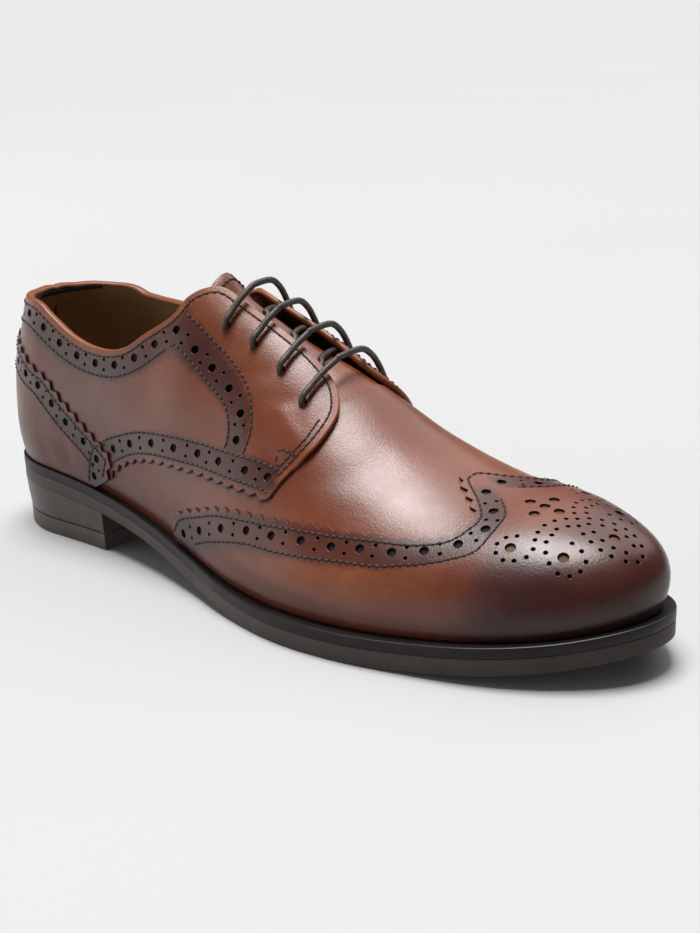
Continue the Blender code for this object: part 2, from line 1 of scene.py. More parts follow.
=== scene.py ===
# Looks of a man's wing-tip derby shoe for the right foot: burnished brown leather on a dark sole.
# Metres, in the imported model's frame: toe along +X, lateral side along -Y, up along +Z.
# Inside the shape functions x is measured from the back of the heel, as in the CAD source.
import math

import bmesh
import bpy
import numpy as np
from mathutils import Matrix, Vector
from mathutils.geometry import delaunay_2d_cdt


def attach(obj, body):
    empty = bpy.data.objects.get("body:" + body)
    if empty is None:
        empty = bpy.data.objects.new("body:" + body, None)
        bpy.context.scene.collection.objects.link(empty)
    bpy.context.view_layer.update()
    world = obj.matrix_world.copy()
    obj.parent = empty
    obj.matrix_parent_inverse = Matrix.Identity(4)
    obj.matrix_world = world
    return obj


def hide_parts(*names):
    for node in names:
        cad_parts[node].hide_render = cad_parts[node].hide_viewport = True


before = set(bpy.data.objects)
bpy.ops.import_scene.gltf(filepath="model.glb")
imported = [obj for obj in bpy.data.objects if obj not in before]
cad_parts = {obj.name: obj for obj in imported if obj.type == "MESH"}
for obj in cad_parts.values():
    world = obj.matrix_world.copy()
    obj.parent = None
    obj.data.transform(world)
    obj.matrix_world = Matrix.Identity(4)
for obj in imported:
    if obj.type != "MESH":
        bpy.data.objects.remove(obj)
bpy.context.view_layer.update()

LENGTH = 0.303
BALL_BREADTH = 0.104
INSTEP = 0.076
HEEL_RISE = 0.0195
TOE_SPRING = 0.0095
SOLE_EDGE = 0.0094
WALL = 0.0024
GAP = 0.0003
HEEL_CENTRE = 0.119*LENGTH
TOE_CENTRE = 0.825*LENGTH
HEEL_ROUND = 0.119*LENGTH
TOE_ROUND = 0.178*LENGTH
BREAST = 0.231*LENGTH
TOE_POWER = 2.15
TOP_POWER = 2.35
WELT_THICKNESS = 0.0032
WELT_GRIP = 0.0004
TOP_PIECE = 0.0066
HEEL_TAPER = 0.0025
TUCK = 0.0018
INSOLE_PROUD = 0.0016
LACE_RADIUS = 0.0012
CHART = 0.080             # flat chart: this far from its spine is the feather line
ROOT_STEPS = 30
RAY_BASE = 0.38           # the ribs' rays start this share of the way up
RAY_TOP = 1.25            # and the height counts up to this share of INSTEP
# Lateral and medial: sign of y, and column in a table that has one for each
SIDES = ((-1, 1), (1, 2))
ORIGIN_X = (HEEL_TAPER + BREAST)/2

# Heights above the last
VAMP_HEIGHT = 0.0006
WING_HEIGHT = 0.0017
QUARTER_HEIGHT = 0.0016
FACING_HEIGHT = 0.0031
COUNTER_HEIGHT = 0.0026
TONGUE_HEIGHT = -0.0037
FACING_LEATHER = 0.0024
TONGUE_LEATHER = 0.0022
BED_LIFT = 0.0001         # bed of a hole above the layer below
BED_SPREAD = 1.18         # its width over the hole's
HOLE_DEPTH = 0.95*(WING_HEIGHT - VAMP_HEIGHT)

STITCH_PITCH = 0.0027
STITCH_LENGTH = 0.0019
THREAD_RADIUS = 0.00042
NEEDLE_LONG = 0.00062
NEEDLE_WIDE = 0.00046
EDGE_ROW = 0.0022         # stitch row inside the collar and front edge
SECOND_ROW = 0.0043
TOOTH_PITCH = 0.0058
TOOTH_DEPTH = 0.0019
# share of a tooth's pitch, share of its depth
TOOTH_SHAPE = ((0.0, 1.0), (0.10, 0.80), (0.25, 0.46), (0.40, 0.14), (0.5, 0.0), (0.60, 0.14), (0.75, 0.46),
               (0.90, 0.80))
PINKED_ROW = TOOTH_DEPTH + 0.0014
PINKED_BULGE = 0.0001
PINKED_DYE_AND_SHADOW = 0.08        # cut edges are dyed dark, and darker still as painted shadow under the teeth
HOLE_BULGE = 0.00022
BIG_HOLE = 0.00178
SMALL_HOLE = 0.00088
MEDALLION_HOLE = 0.00195  # the medallion's two sizes
MEDALLION_DOT = 0.00092
EYELET = 0.0017
PAIR_AWAY = 0.00195       # small holes either side of a band's middle
BAND_HALF = 0.0047
HOLE_PITCH = 0.0112       # big holes along the topline
TOP_BAND_DROP = 0.0056    # topline holes below the collar edge

# share of length, lateral half breadth, medial half breadth (shares of BALL_BREADTH)
OUTLINE = (
    (0.00, 0.310, 0.310),
    (0.12, 0.310, 0.310),
    (0.23, 0.316, 0.308),
    (0.33, 0.356, 0.294),
    (0.43, 0.425, 0.306),
    (0.52, 0.505, 0.352),
    (0.62, 0.556, 0.420),
    (0.70, 0.544, 0.450),
    (0.79, 0.486, 0.430),
    (0.86, 0.430, 0.380),
    (0.93, 0.376, 0.325),
    (1.00, 0.320, 0.275),
)
# share of length, share of HEEL_RISE, share of TOE_SPRING, sole edge as a share of SOLE_EDGE
PROFILE = (
    (0.00, 1.00, 0.00, 0.90),
    (0.12, 0.93, 0.00, 0.90),
    (0.23, 0.74, 0.00, 0.87),
    (0.33, 0.51, 0.00, 0.85),
    (0.43, 0.23, 0.00, 0.93),
    (0.52, 0.055, 0.00, 0.98),
    (0.60, 0.00, 0.00, 1.00),
    (0.68, 0.00, 0.00, 1.00),
    (0.76, 0.00, 0.07, 1.00),
    (0.86, 0.00, 0.33, 0.98),
    (0.93, 0.00, 0.62, 0.96),
    (1.00, 0.00, 1.05, 0.95),
)
# share of length, crest height (share of INSTEP), crest shift to medial (share of BALL_BREADTH),
# power down the side, power across the top, height of the fullest level (share of INSTEP)
SECTIONS = (
    (0.00, 1.42, 0.000, 2.40, 2.00, 0.200),
    (0.12, 1.42, 0.000, 2.30, 1.90, 0.200),
    (0.23, 1.40, 0.000, 2.15, 1.80, 0.190),
    (0.33, 1.30, 0.012, 1.75, 1.80, 0.170),
    (0.43, 1.15, 0.030, 1.42, 1.80, 0.150),
    (0.52, 1.01, 0.048, 1.38, 1.82, 0.140),
    (0.60, 0.825, 0.066, 1.48, 1.85, 0.125),
    (0.68, 0.645, 0.078, 1.68, 1.90, 0.115),
    (0.76, 0.525, 0.082, 2.00, 1.90, 0.110),
    (0.86, 0.448, 0.074, 2.20, 2.10, 0.105),
    (0.93, 0.408, 0.055, 2.30, 2.20, 0.100),
    (1.00, 0.385, 0.040, 2.40, 2.30, 0.090),
)
# share of length, how far the upper stands inside the sole's edge (metres)
LEDGE = ((0.0, 0.0022), (0.25, 0.0022), (0.45, 0.0030), (0.60, 0.0048), (0.85, 0.0055), (1.0, 0.0055))
# height above the feather line (share of INSTEP), forward lean of the back of the heel (metres)
BACK = ((0.0, 0.0), (0.2, -0.0012), (0.45, 0.0004), (0.75, 0.0062), (1.0, 0.0130), (1.5, 0.0240))

# Collar edge of the upper: share of length, then how far down from crest to feather line, by side
TOP_LINE = (
    (0.119, 0.247, 0.262),
    (0.150, 0.277, 0.268),
    (0.182, 0.304, 0.264),
    (0.214, 0.317, 0.257),
    (0.250, 0.314, 0.246),
    (0.282, 0.288, 0.228),
    (0.312, 0.232, 0.202),
    (0.340, 0.190, 0.182),
)
# The same round the heel: share of the quarter turn from the side to the back
HEEL_LINE = ((0.35, 0.239, 0.250), (0.7, 0.238, 0.243), (1.0, 0.240, 0.240))
# Throat edge under the facings: share of length, distance from the crest (metres)
THROAT = (
    (0.380, 0.0205),
    (0.420, 0.0206),
    (0.463, 0.0209),
    (0.510, 0.0236),
    (0.551, 0.0265),
    (0.572, 0.0235),
    (0.584, 0.0130),
    (0.588, 0.0000),
)


def through(rows, column=1, level=False):
    """A smooth curve through a column of a table; level keeps flat stretches flat."""
    xs = np.array([row[0] for row in rows], float)
    ys = np.array([row[column] for row in rows], float)
    slopes = np.gradient(ys, xs)
    if level:
        steps = np.diff(ys)/np.diff(xs)
        slopes[1:-1][steps[:-1]*steps[1:] <= 0] = 0

    def value(x):
        x = np.clip(x, xs[0], xs[-1])
        i = np.clip(np.searchsorted(xs, x) - 1, 0, len(xs) - 2)
        h = xs[i + 1] - xs[i]
        t = (x - xs[i])/h
        return ((2*t**3 - 3*t**2 + 1)*ys[i] + (t**3 - 2*t**2 + t)*h*slopes[i]
                + (3*t**2 - 2*t**3)*ys[i + 1] + (t**3 - t**2)*h*slopes[i + 1])
    return value


lateral_share = through(OUTLINE, 1)
medial_share = through(OUTLINE, 2)
rise_share = through(PROFILE, 1, True)
spring_share = through(PROFILE, 2, True)
edge_share = through(PROFILE, 3, True)
crest_share = through(SECTIONS, 1)
shift_share = through(SECTIONS, 2)
side_power = through(SECTIONS, 3)
top_power = through(SECTIONS, 4)
full_share = through(SECTIONS, 5)
ledge = through(LEDGE)
lean = through(BACK)


def feather_z(x):
    """Height of the line where the upper meets the welt."""
    share = x/LENGTH
    return SOLE_EDGE + HEEL_RISE*rise_share(share) + TOE_SPRING*spring_share(share)


def plan_half(x, medial, inset, back):
    """Half breadth of the outline drawn in by inset, or by back round the heel."""
    share = x/LENGTH
    body = np.where(medial, medial_share(share), lateral_share(share))*BALL_BREADTH - inset
    u = np.clip((HEEL_ROUND - x)/(HEEL_ROUND - back), 0, 1)
    w = np.clip((x - (LENGTH - TOE_ROUND))/(TOE_ROUND - inset), 0, 1)
    return body*np.sqrt(1 - u**2)*(1 - w**TOE_POWER)**(1/TOE_POWER)


def levels(x):
    """Heights of feather line, fullest level and crest."""
    share = x/LENGTH
    low = feather_z(x)
    w = np.clip((x - (LENGTH - TOE_ROUND))/(TOE_ROUND - ledge(share)), 0, 1)
    full = low + INSTEP*full_share(share)
    drop = (1 - w**TOP_POWER)**(1/TOP_POWER)
    return low, full, full + INSTEP*(crest_share(share) - full_share(share))*drop


def crest_y(x, z):
    low, full, top = levels(x)
    return BALL_BREADTH*shift_share(x/LENGTH)*np.clip((z - low)/np.maximum(top - low, 1e-4), 0, 1)


def last_half(x, z, medial):
    """Half breadth of the upper's outside at height z."""
    share = x/LENGTH
    low, full, top = levels(x)
    above = np.clip((z - full)/np.maximum(top - full, 1e-6), 0, 1)
    below = np.clip((full - z)/(full - low), 0, 1.3)
    inset = ledge(share) + TUCK*below**2
    half = plan_half(x, medial, inset, inset + lean((z - low)/INSTEP))
    return half*(1 - above**side_power(share))**(1/top_power(share))


def outside(point):
    x, y, z = point[..., 0], point[..., 1], point[..., 2]
    within = np.clip(x, 0, LENGTH)
    across = y - crest_y(within, z)
    top = levels(within)[2]
    return (np.abs(across) >= last_half(within, z, across > 0)) | (z >= top) | (x <= 0) | (x >= LENGTH)


def bisect(test, high):
    """Largest distance, rib by rib, that still passes the test."""
    low = np.zeros(high.shape)
    for _ in range(ROOT_STEPS):
        middle = (low + high)/2
        out = test(middle)
        high = np.where(out, middle, high)
        low = np.where(out, low, middle)
    return low


def rib(centre, ex, ey, down):
    """Point on the upper for a spine point and plan direction; down is 0 at the crest, 1 at the foot."""
    low, full, top = levels(centre)
    base = low + RAY_BASE*(np.minimum(top, RAY_TOP*INSTEP) - low)

    def past_feather(reach):
        x = np.clip(centre + ex*reach, 0, LENGTH)
        y = ey*reach
        return (np.abs(y) >= last_half(x, feather_z(x), y > 0)) | (centre + ex*reach <= 0) \
            | (centre + ex*reach >= LENGTH)
    foot = bisect(past_feather, np.full(centre.shape, LENGTH/2))
    foot_z = feather_z(np.clip(centre + ex*foot, 0, LENGTH))
    lowest = np.arctan2(foot_z - base, foot)
    angle = math.pi/2 + (lowest - math.pi/2)*down
    origin = np.stack([centre, 0*centre, base], -1)
    ray = np.stack([np.cos(angle)*ex, np.cos(angle)*ey, np.sin(angle)], -1)
    reach = bisect(lambda t: outside(origin + ray*t[..., None]), np.full(centre.shape, LENGTH))
    return origin + ray*reach[..., None]


# The upper as a lookup table, so that thousands of points come quickly

SIDE_STEPS = 140
FAN_STEPS = 56
DOWN_STEPS = 84
SPARE = 3                 # extra rows round each table, for the cubic


def sector_ribs(kind, t):
    """Spine point and plan direction at t, from 0 to 1 along one sector of the ring."""
    span = TOE_CENTRE - HEEL_CENTRE
    if kind == "lateral":
        return HEEL_CENTRE + span*t, 0*t, 0*t - 1
    if kind == "medial":
        return TOE_CENTRE - span*t, 0*t, 0*t + 1
    start = -math.pi/2 if kind == "toe" else math.pi/2
    angle = start + math.pi*t
    centre = TOE_CENTRE if kind == "toe" else HEEL_CENTRE
    return 0*t + centre, np.cos(angle), np.sin(angle)


SECTOR_STEPS = {"lateral": SIDE_STEPS, "toe": FAN_STEPS, "medial": SIDE_STEPS, "heel": FAN_STEPS}


def sector_table(kind):
    steps = SECTOR_STEPS[kind]
    t = np.arange(-SPARE, steps + SPARE + 1)/steps
    down = np.arange(-SPARE, DOWN_STEPS + SPARE + 1)/DOWN_STEPS
    t, down = np.meshgrid(t, down, indexing="ij")
    centre, ex, ey = sector_ribs(kind, t)
    return rib(centre, ex, ey, down)


TABLES = {kind: sector_table(kind) for kind in SECTOR_STEPS}


def cubic(t):
    return np.stack([-t + 2*t**2 - t**3, 2 - 5*t**2 + 3*t**3, t + 4*t**2 - 3*t**3, t**3 - t**2], -1)/2


def look_up(table, row, column):
    row = np.clip(row, 1, table.shape[0] - 2.001)
    column = np.clip(column, 1, table.shape[1] - 2.001)
    i, j = np.floor(row).astype(int), np.floor(column).astype(int)
    wi, wj = cubic(row - i), cubic(column - j)
    total = 0
    for a in range(4):
        for b in range(4):
            total = total + (wi[..., a]*wj[..., b])[..., None]*table[i + a - 1, j + b - 1]
    return total


def on_last(u, v):
    """Points on the last's outside for chart points."""
    centre = np.clip(u, HEEL_CENTRE, TOE_CENTRE)
    dx = u - centre
    column = np.hypot(dx, v)/CHART*DOWN_STEPS + SPARE
    span = TOE_CENTRE - HEEL_CENTRE
    angle = np.arctan2(v, dx)
    places = {
        "lateral": (dx == 0) & (v < 0),
        "medial": (dx == 0) & (v >= 0),
        "toe": dx > 0,
        "heel": dx < 0,
    }
    along = {
        "lateral": (centre - HEEL_CENTRE)/span,
        "medial": (TOE_CENTRE - centre)/span,
        "toe": (angle + math.pi/2)/math.pi,
        "heel": (np.mod(angle, 2*math.pi) - math.pi/2)/math.pi,
    }
    points = np.zeros(u.shape + (3,))
    for kind, here in places.items():
        if here.any():
            row = along[kind][here]*SECTOR_STEPS[kind] + SPARE
            points[here] = look_up(TABLES[kind], row, column[here])
    return points


def unit(vectors):
    return vectors/np.maximum(np.linalg.norm(vectors, axis=-1), 1e-12)[..., None]


NEAR = 0.0004             # half step for slopes


def slopes(u, v):
    """How the surface moves with each chart coordinate, and its outward normal."""
    along = (on_last(u + NEAR, v) - on_last(u - NEAR, v))/(2*NEAR)
    across = (on_last(u, v + NEAR) - on_last(u, v - NEAR))/(2*NEAR)
    return along, across, unit(np.cross(along, across))


# Soft troughs and ridges worked into every layer: a chart line in (millimetres from the heel, share down),
# its side or both, then half width and height in millimetres, below 0 for a trough
BOTH = 0
CREASE_START = 0.12       # a crease starts this far into its fade, and ends at nothing
CREASES = (
    (((167, 0.472), (159, 0.430), (150, 0.408)), BOTH, 2.4, -0.42),
    (((168, 0.520), (160, 0.482), (152, 0.462)), BOTH, 2.4, -0.36),
    (((171, 0.440), (163, 0.395), (156, 0.345)), BOTH, 2.8, -0.30),
    (((173, 0.395), (166, 0.350), (160, 0.300)), -1, 2.8, 0.22),
    (((129, 0.105), (122, 0.120), (114, 0.125)), -1, 3.0, 0.30),
    (((127, 0.200), (135, 0.170), (141, 0.140)), -1, 3.4, -0.28),
    (((141, 0.235), (149, 0.205), (156, 0.175)), -1, 3.4, -0.28),
    (((155, 0.290), (162, 0.255), (168, 0.215)), -1, 3.4, -0.28),
    (((52, 0.900), (50, 0.800), (45, 0.720)), -1, 3.2, -0.40),
    (((45, 0.930), (42, 0.840), (36, 0.760)), -1, 3.0, 0.30),
    (((60, 0.520), (66, 0.450), (72, 0.420)), -1, 6.0, -0.25),
    (((80, 0.560), (86, 0.480), (90, 0.420)), -1, 6.0, 0.18),
    (((182, 0.560), (194, 0.470), (200, 0.330), (198, 0.160)), -1, 7.0, -0.22),
    (((190, 0.600), (203, 0.520), (210, 0.400)), -1, 6.0, 0.15),
    (((198, 0.160), (199, 0.050)), 1, 7.0, -0.20),
    (((182, 0.520), (192, 0.440), (198, 0.300), (197, 0.120)), 1, 7.0, -0.22),
    (((60, 0.520), (66, 0.450), (72, 0.420)), 1, 5.0, -0.45),
    (((80, 0.560), (86, 0.480), (90, 0.420)), 1, 5.0, 0.35),
)


def spot(x, down, side=-1):
    """Chart point from millimetres along the shoe and a share of the way down."""
    return x/1000, side*down*CHART


def back_spot(turn, down, side=-1):
    """Chart point round the heel: turn from 0 at the side to 1 at the back."""
    angle = turn*math.pi/2
    return HEEL_CENTRE - down*CHART*math.sin(angle), side*down*CHART*math.cos(angle)


def toe_spot(turn, down, side=-1):
    angle = turn*math.pi/2
    return TOE_CENTRE + down*CHART*math.sin(angle), side*down*CHART*math.cos(angle)


def line_distance(u, v, line):
    """Distance in the chart to a line, and how far along it from 0 to 1."""
    line = np.array(line, float)
    steps = np.linalg.norm(np.diff(line, axis=0), axis=1)
    starts = np.concatenate([[0], np.cumsum(steps)])/steps.sum()
    best = np.full(u.shape, 1e3)
    place = np.zeros(u.shape)
    for k, (a, b) in enumerate(zip(line[:-1], line[1:])):
        d = b - a
        t = np.clip(((u - a[0])*d[0] + (v - a[1])*d[1])/(d @ d), 0, 1)
        away = np.hypot(u - a[0] - t*d[0], v - a[1] - t*d[1])
        nearer = away < best
        best = np.where(nearer, away, best)
        place = np.where(nearer, starts[k] + t*(starts[k + 1] - starts[k]), place)
    return best, place


def relief(u, v):
    total = 0*u
    for line, crease_side, width, height in CREASES:
        for side in (-1, 1) if crease_side == BOTH else (crease_side,):
            away, place = line_distance(u, v, [spot(x, down, side) for x, down in line])
            fade = np.sin(np.pi*np.clip(CREASE_START + (1 - CREASE_START)*place, 0, 1))**0.6
            total = total + 0.001*height*fade*np.exp(-(away/(0.001*width))**2)
    return total


def smooth_step(low, high, x):
    t = np.clip((x - low)/(high - low), 0, 1)
    return t*t*(3 - 2*t)


def layer(u, v, height):
    """Points and normals of a layer: height(u, v) is how far outside the last it lies."""
    along, across, normal = slopes(u, v)

    def whole(a, b):
        return height(a, b) + relief(a, b)
    rise_along = (whole(u + NEAR, v) - whole(u - NEAR, v))/(2*NEAR)
    rise_across = (whole(u, v + NEAR) - whole(u, v - NEAR))/(2*NEAR)
    e, f, g = (along*along).sum(-1), (along*across).sum(-1), (across*across).sum(-1)
    area = np.maximum(e*g - f*f, 1e-9)
    slope = ((g*rise_along - f*rise_across)/area)[..., None]*along \
        + ((e*rise_across - f*rise_along)/area)[..., None]*across
    return on_last(u, v) + normal*whole(u, v)[..., None], unit(normal - slope)


def level(value):
    return lambda u, v: value + 0*u


def facing_share(u, v):
    """1 over the facings, where a second leather lines the quarters, falling to 0 behind and below."""
    down = np.abs(v)/CHART
    return smooth_step(0.098, 0.118, u)*(1 - smooth_step(0.40, 0.56, down))


def quarter_height(u, v):
    return QUARTER_HEIGHT + (FACING_HEIGHT - QUARTER_HEIGHT)*facing_share(u, v)


# Flat outlines and lines in the chart

def smooth_path(points, pieces_of):
    """A smooth curve through points; pieces_of gives the pieces between two of them."""
    points = np.array(points, float)
    ends = np.concatenate([[2*points[0] - points[1]], points, [2*points[-1] - points[-2]]])
    made = []
    for p0, p1, p2, p3 in zip(ends[:-3], ends[1:-2], ends[2:-1], ends[3:]):
        pieces = pieces_of(p1, p2)
        for t in np.arange(pieces)/pieces:
            made.append(0.5*(2*p1 + (p2 - p0)*t + (2*p0 - 5*p1 + 4*p2 - p3)*t**2
                             + (3*p1 - p0 - 3*p2 + p3)*t**3))
    made.append(points[-1])
    return np.array(made)


def open_curve(points, step):
    """A smooth curve through chart points, evenly stepped."""
    return smooth_path(points, lambda a, b: max(2, int(round(np.linalg.norm(b - a)/step))))


def beside(line, away):
    """Chart line moved to the left of its travel by a real distance."""
    line = np.array(line, float)
    along, across, normal = slopes(line[:, 0], line[:, 1])
    run = np.gradient(line, axis=0)
    way = unit(run[:, :1]*along + run[:, 1:]*across)
    left = np.cross(normal, way)*np.broadcast_to(np.asarray(away, float), len(line))[:, None]
    return line + chart_step(along, across, left)


def chart_step(along, across, move):
    """Chart step for a small move in the surface."""
    e, f, g = (along*along).sum(-1), (along*across).sum(-1), (across*across).sum(-1)
    p, q = (along*move).sum(-1), (across*move).sum(-1)
    area = np.maximum(e*g - f*f, 1e-9)
    return np.stack([(g*p - f*q)/area, (e*q - f*p)/area], -1)


def run_along(line):
    """Real distance along a chart line."""
    points = on_last(line[:, 0], line[:, 1])
    return np.concatenate([[0], np.cumsum(np.linalg.norm(np.diff(points, axis=0), axis=1))])


def at_distances(line, run, distances):
    return np.stack([np.interp(distances, run, line[:, k]) for k in (0, 1)], -1)


def pinked(line, inward):
    """Saw teeth along a chart line: tips on the line, notches to the left for inward 1, right for -1."""
    line = open_curve(line, 0.0007)
    run = run_along(line)
    teeth = max(1, int(round(run[-1]/TOOTH_PITCH)))
    pitch = run[-1]/teeth
    places, depths = [], []
    for k in range(teeth):
        for share, depth in TOOTH_SHAPE:
            places.append((k + share)*pitch)
            depths.append(depth*TOOTH_DEPTH*inward)
    return beside(at_distances(line, run, np.array(places)), np.array(depths))


def circle(u, v, radius, count):
    """Chart loop that is round on the surface."""
    u, v = np.array([u], float), np.array([v], float)
    along, across, normal = slopes(u, v)
    first = unit(along)
    second = np.cross(normal, first)
    angle = 2*math.pi*np.arange(count)/count
    ring = radius*(np.cos(angle)[:, None]*first + np.sin(angle)[:, None]*second)
    step = chart_step(np.repeat(along, count, 0), np.repeat(across, count, 0), ring)
    return np.stack([u + step[:, 0], v + step[:, 1]], -1)


def band_holes(spots):
    """Big holes at the spots and a pair of small ones between each two."""
    spots = np.array(spots, float)
    holes = [(u, v, BIG_HOLE) for u, v in spots]
    curve = open_curve(spots, 0.0010)
    for a, b in zip(spots[:-1], spots[1:]):
        first = np.linalg.norm(curve - a, axis=1).argmin()
        last = np.linalg.norm(curve - b, axis=1).argmin()
        middle = (first + last)//2
        piece = curve[max(middle - 2, 0):middle + 3]
        for away in (PAIR_AWAY, -PAIR_AWAY):
            u, v = beside(piece, away)[len(piece)//2]
            holes.append((u, v, SMALL_HOLE))
    return holes


# Building meshes

WIDE_HOLE = 0.01          # the collar's opening; every punched hole is smaller
shoe = bpy.data.collections.new("looks")
bpy.context.scene.collection.children.link(shoe)


def in_loop(loop, points):
    x1, y1 = loop[:, 0], loop[:, 1]
    x2, y2 = np.roll(x1, -1), np.roll(y1, -1)
    slope = (x2 - x1)/np.where(y2 == y1, 1e-12, y2 - y1)
    found = []
    for start in range(0, len(points), 2000):
        x, y = points[start:start + 2000, 0][:, None], points[start:start + 2000, 1][:, None]
        found.append((((y1 > y) != (y2 > y)) & (x < slope*(y - y1) + x1)).sum(1) % 2 == 1)
    return np.concatenate(found)


def clear_of(points, border, distance):
    """True for points farther than distance from every border point."""
    found = []
    for start in range(0, len(points), 2000):
        gaps = points[start:start + 2000, None] - border[None]
        found.append((gaps**2).sum(2).min(1) > distance**2)
    return np.concatenate(found)


def turned(loop, leftward):
    """The loop run counter-clockwise when leftward, and clockwise when not."""
    x, y = loop[:, 0], loop[:, 1]
    area = (x*np.roll(y, -1) - np.roll(x, -1)*y).sum()
    return loop if (area > 0) == leftward else loop[::-1]


def flat_mesh(outline, holes, step):
    """Triangles over a chart outline with holes: points, faces, and the loops as lists of point numbers."""
    rings = [turned(outline, True)] + [turned(hole, False) for hole in holes]
    low, high = outline.min(0), outline.max(0)
    seeds = []
    for number, y in enumerate(np.arange(low[1], high[1], step*0.87)):
        x = np.arange(low[0] + (number % 2)*step/2, high[0], step)
        seeds.append(np.stack([x, 0*x + y], -1))
    seeds = np.concatenate(seeds)
    seeds = seeds[in_loop(outline, seeds)]
    for hole in rings[1:]:
        middle = hole.mean(0)
        reach = np.linalg.norm(hole - middle, axis=1).max()
        if reach > WIDE_HOLE:
            near = in_loop(hole, seeds) | ~clear_of(seeds, hole, 0.55*step)
        else:
            near = np.linalg.norm(seeds - middle, axis=1) < reach + 0.5*step
        seeds = seeds[~near]
    seeds = seeds[clear_of(seeds, rings[0], 0.5*step)]
    flat = np.concatenate(rings + [seeds])
    loops, edges, label = [], [], np.full(len(flat), -1)
    start = 0
    for number, ring in enumerate(rings):
        loops.append(np.arange(start, start + len(ring)))
        edges += [(start + i, start + (i + 1) % len(ring)) for i in range(len(ring))]
        label[start:start + len(ring)] = number
        start += len(ring)
    made, _, faces, origins, _, _ = delaunay_2d_cdt([Vector(p) for p in flat], edges, [], 1, 1e-9)
    if len(made) != len(flat):
        raise ValueError("an outline crosses itself or a hole")
    back = np.array([found[0] for found in origins])
    faces = back[np.array([tuple(face) for face in faces])]
    same = (label[faces] == label[faces[:, :1]]).all(1) & (label[faces[:, 0]] > 0)
    faces = faces[~same]
    for number, hole in enumerate(rings[1:], 1):
        if np.ptp(hole[:, 0]) > WIDE_HOLE:
            faces = faces[~in_loop(hole, flat[faces].mean(1))]
    return flat, faces, loops


def skirt(points, normals, loop, depth, bulge, turn, first):
    """Rings that turn the edge of a sheet down by depth. turn is how far round, a quarter or a half."""
    top, normal = points[loop], normals[loop]
    travel = np.roll(top, -1, 0) - np.roll(top, 1, 0)
    out = unit(np.cross(travel, normal))
    depth = np.broadcast_to(np.asarray(depth, float), len(loop))
    made, ways = [], []
    if turn == "half":
        for angle in np.radians((25, 55, 90, 125, 155, 180)):
            made.append(top + out*(bulge*math.sin(angle)) - normal*(depth/2*(1 - math.cos(angle)))[:, None])
            ways.append(normal*math.cos(angle) + out*math.sin(angle))
    else:
        for angle in np.radians((30, 60, 90)):
            made.append(top + out*(bulge*math.sin(angle)) - normal*(bulge*(1 - math.cos(angle))))
            ways.append(normal*math.cos(angle) + out*math.sin(angle))
        made.append(top + out*bulge - normal*depth[:, None])
        ways.append(out)
    count = len(loop)
    rows = [loop] + [first + k*count + np.arange(count) for k in range(len(made))]
    faces = []
    for a, b in zip(rows[:-1], rows[1:]):
        faces.append(np.stack([a, b, np.roll(b, -1), np.roll(a, -1)], -1))
    return np.concatenate(made), unit(np.concatenate(ways)), np.concatenate(faces)


def finish_mesh(name, points, faces, material, normals=None, tone=None):
    """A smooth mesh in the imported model's frame, with its normals and colour tone."""
    mesh = bpy.data.meshes.new(name)
    moved = np.asarray(points, float) - np.array([ORIGIN_X, 0, 0])
    mesh.from_pydata(moved.tolist(), [], faces)
    mesh.polygons.foreach_set("use_smooth", [True]*len(mesh.polygons))
    if tone is not None:
        attribute = mesh.attributes.new("tone", "FLOAT", "POINT")
        attribute.data.foreach_set("value", np.asarray(tone, np.float32))
    mesh.update()
    if normals is not None:
        mesh.normals_split_custom_set_from_vertices(np.asarray(normals, float).tolist())
    thing = bpy.data.objects.new(name, mesh)
    shoe.objects.link(thing)
    mesh.materials.append(material)
    return thing


def sheet(name, outline, height, depth, material, holes=(), step=0.0019, bulge=0.00025, turn="quarter",
          tone=None, edge_tone=1.0, inside_out=False):
    """A piece of leather on the last. holes are (u, v, radius) or whole loops."""
    loops = []
    for hole in holes:
        if len(hole) == 3:
            loops.append(circle(*hole, 16 if hole[2] > 0.001 else 9))
        else:
            loops.append(np.array(hole, float))
    flat, faces, rings = flat_mesh(np.array(outline, float), loops, step)
    points, normals = layer(flat[:, 0], flat[:, 1], height)
    tones = tone(flat[:, 0], flat[:, 1]) if tone else np.full(len(flat), 0.5)
    faces = [tuple(int(i) for i in face) for face in faces]
    if depth is not None:
        for number, ring in enumerate(rings):
            if number:
                made, ways, quads = skirt(points, normals, ring, HOLE_DEPTH, HOLE_BULGE, "quarter",
                                          len(points))
                rows = len(made)//len(ring)
                # Hole walls: a painted highlight on the lip, then painted shade down to black at the bottom
                darker = np.repeat(np.linspace(1.15, 0.0, rows), len(ring))*np.tile(tones[ring], rows)
            else:
                ring_depth = depth[ring] if isinstance(depth, np.ndarray) else depth
                made, ways, quads = skirt(points, normals, ring, ring_depth, bulge, turn, len(points))
                ring_tone = edge_tone[ring] if isinstance(edge_tone, np.ndarray) else edge_tone
                darker = np.tile(tones[ring]*ring_tone, len(made)//len(ring))
            points, normals = np.concatenate([points, made]), np.concatenate([normals, ways])
            tones = np.concatenate([tones, darker])
            faces += [tuple(int(i) for i in quad) for quad in quads]
    if inside_out:
        faces = [face[::-1] for face in faces]
        normals = -normals
    return finish_mesh(name, points, faces, material, normals, tones)


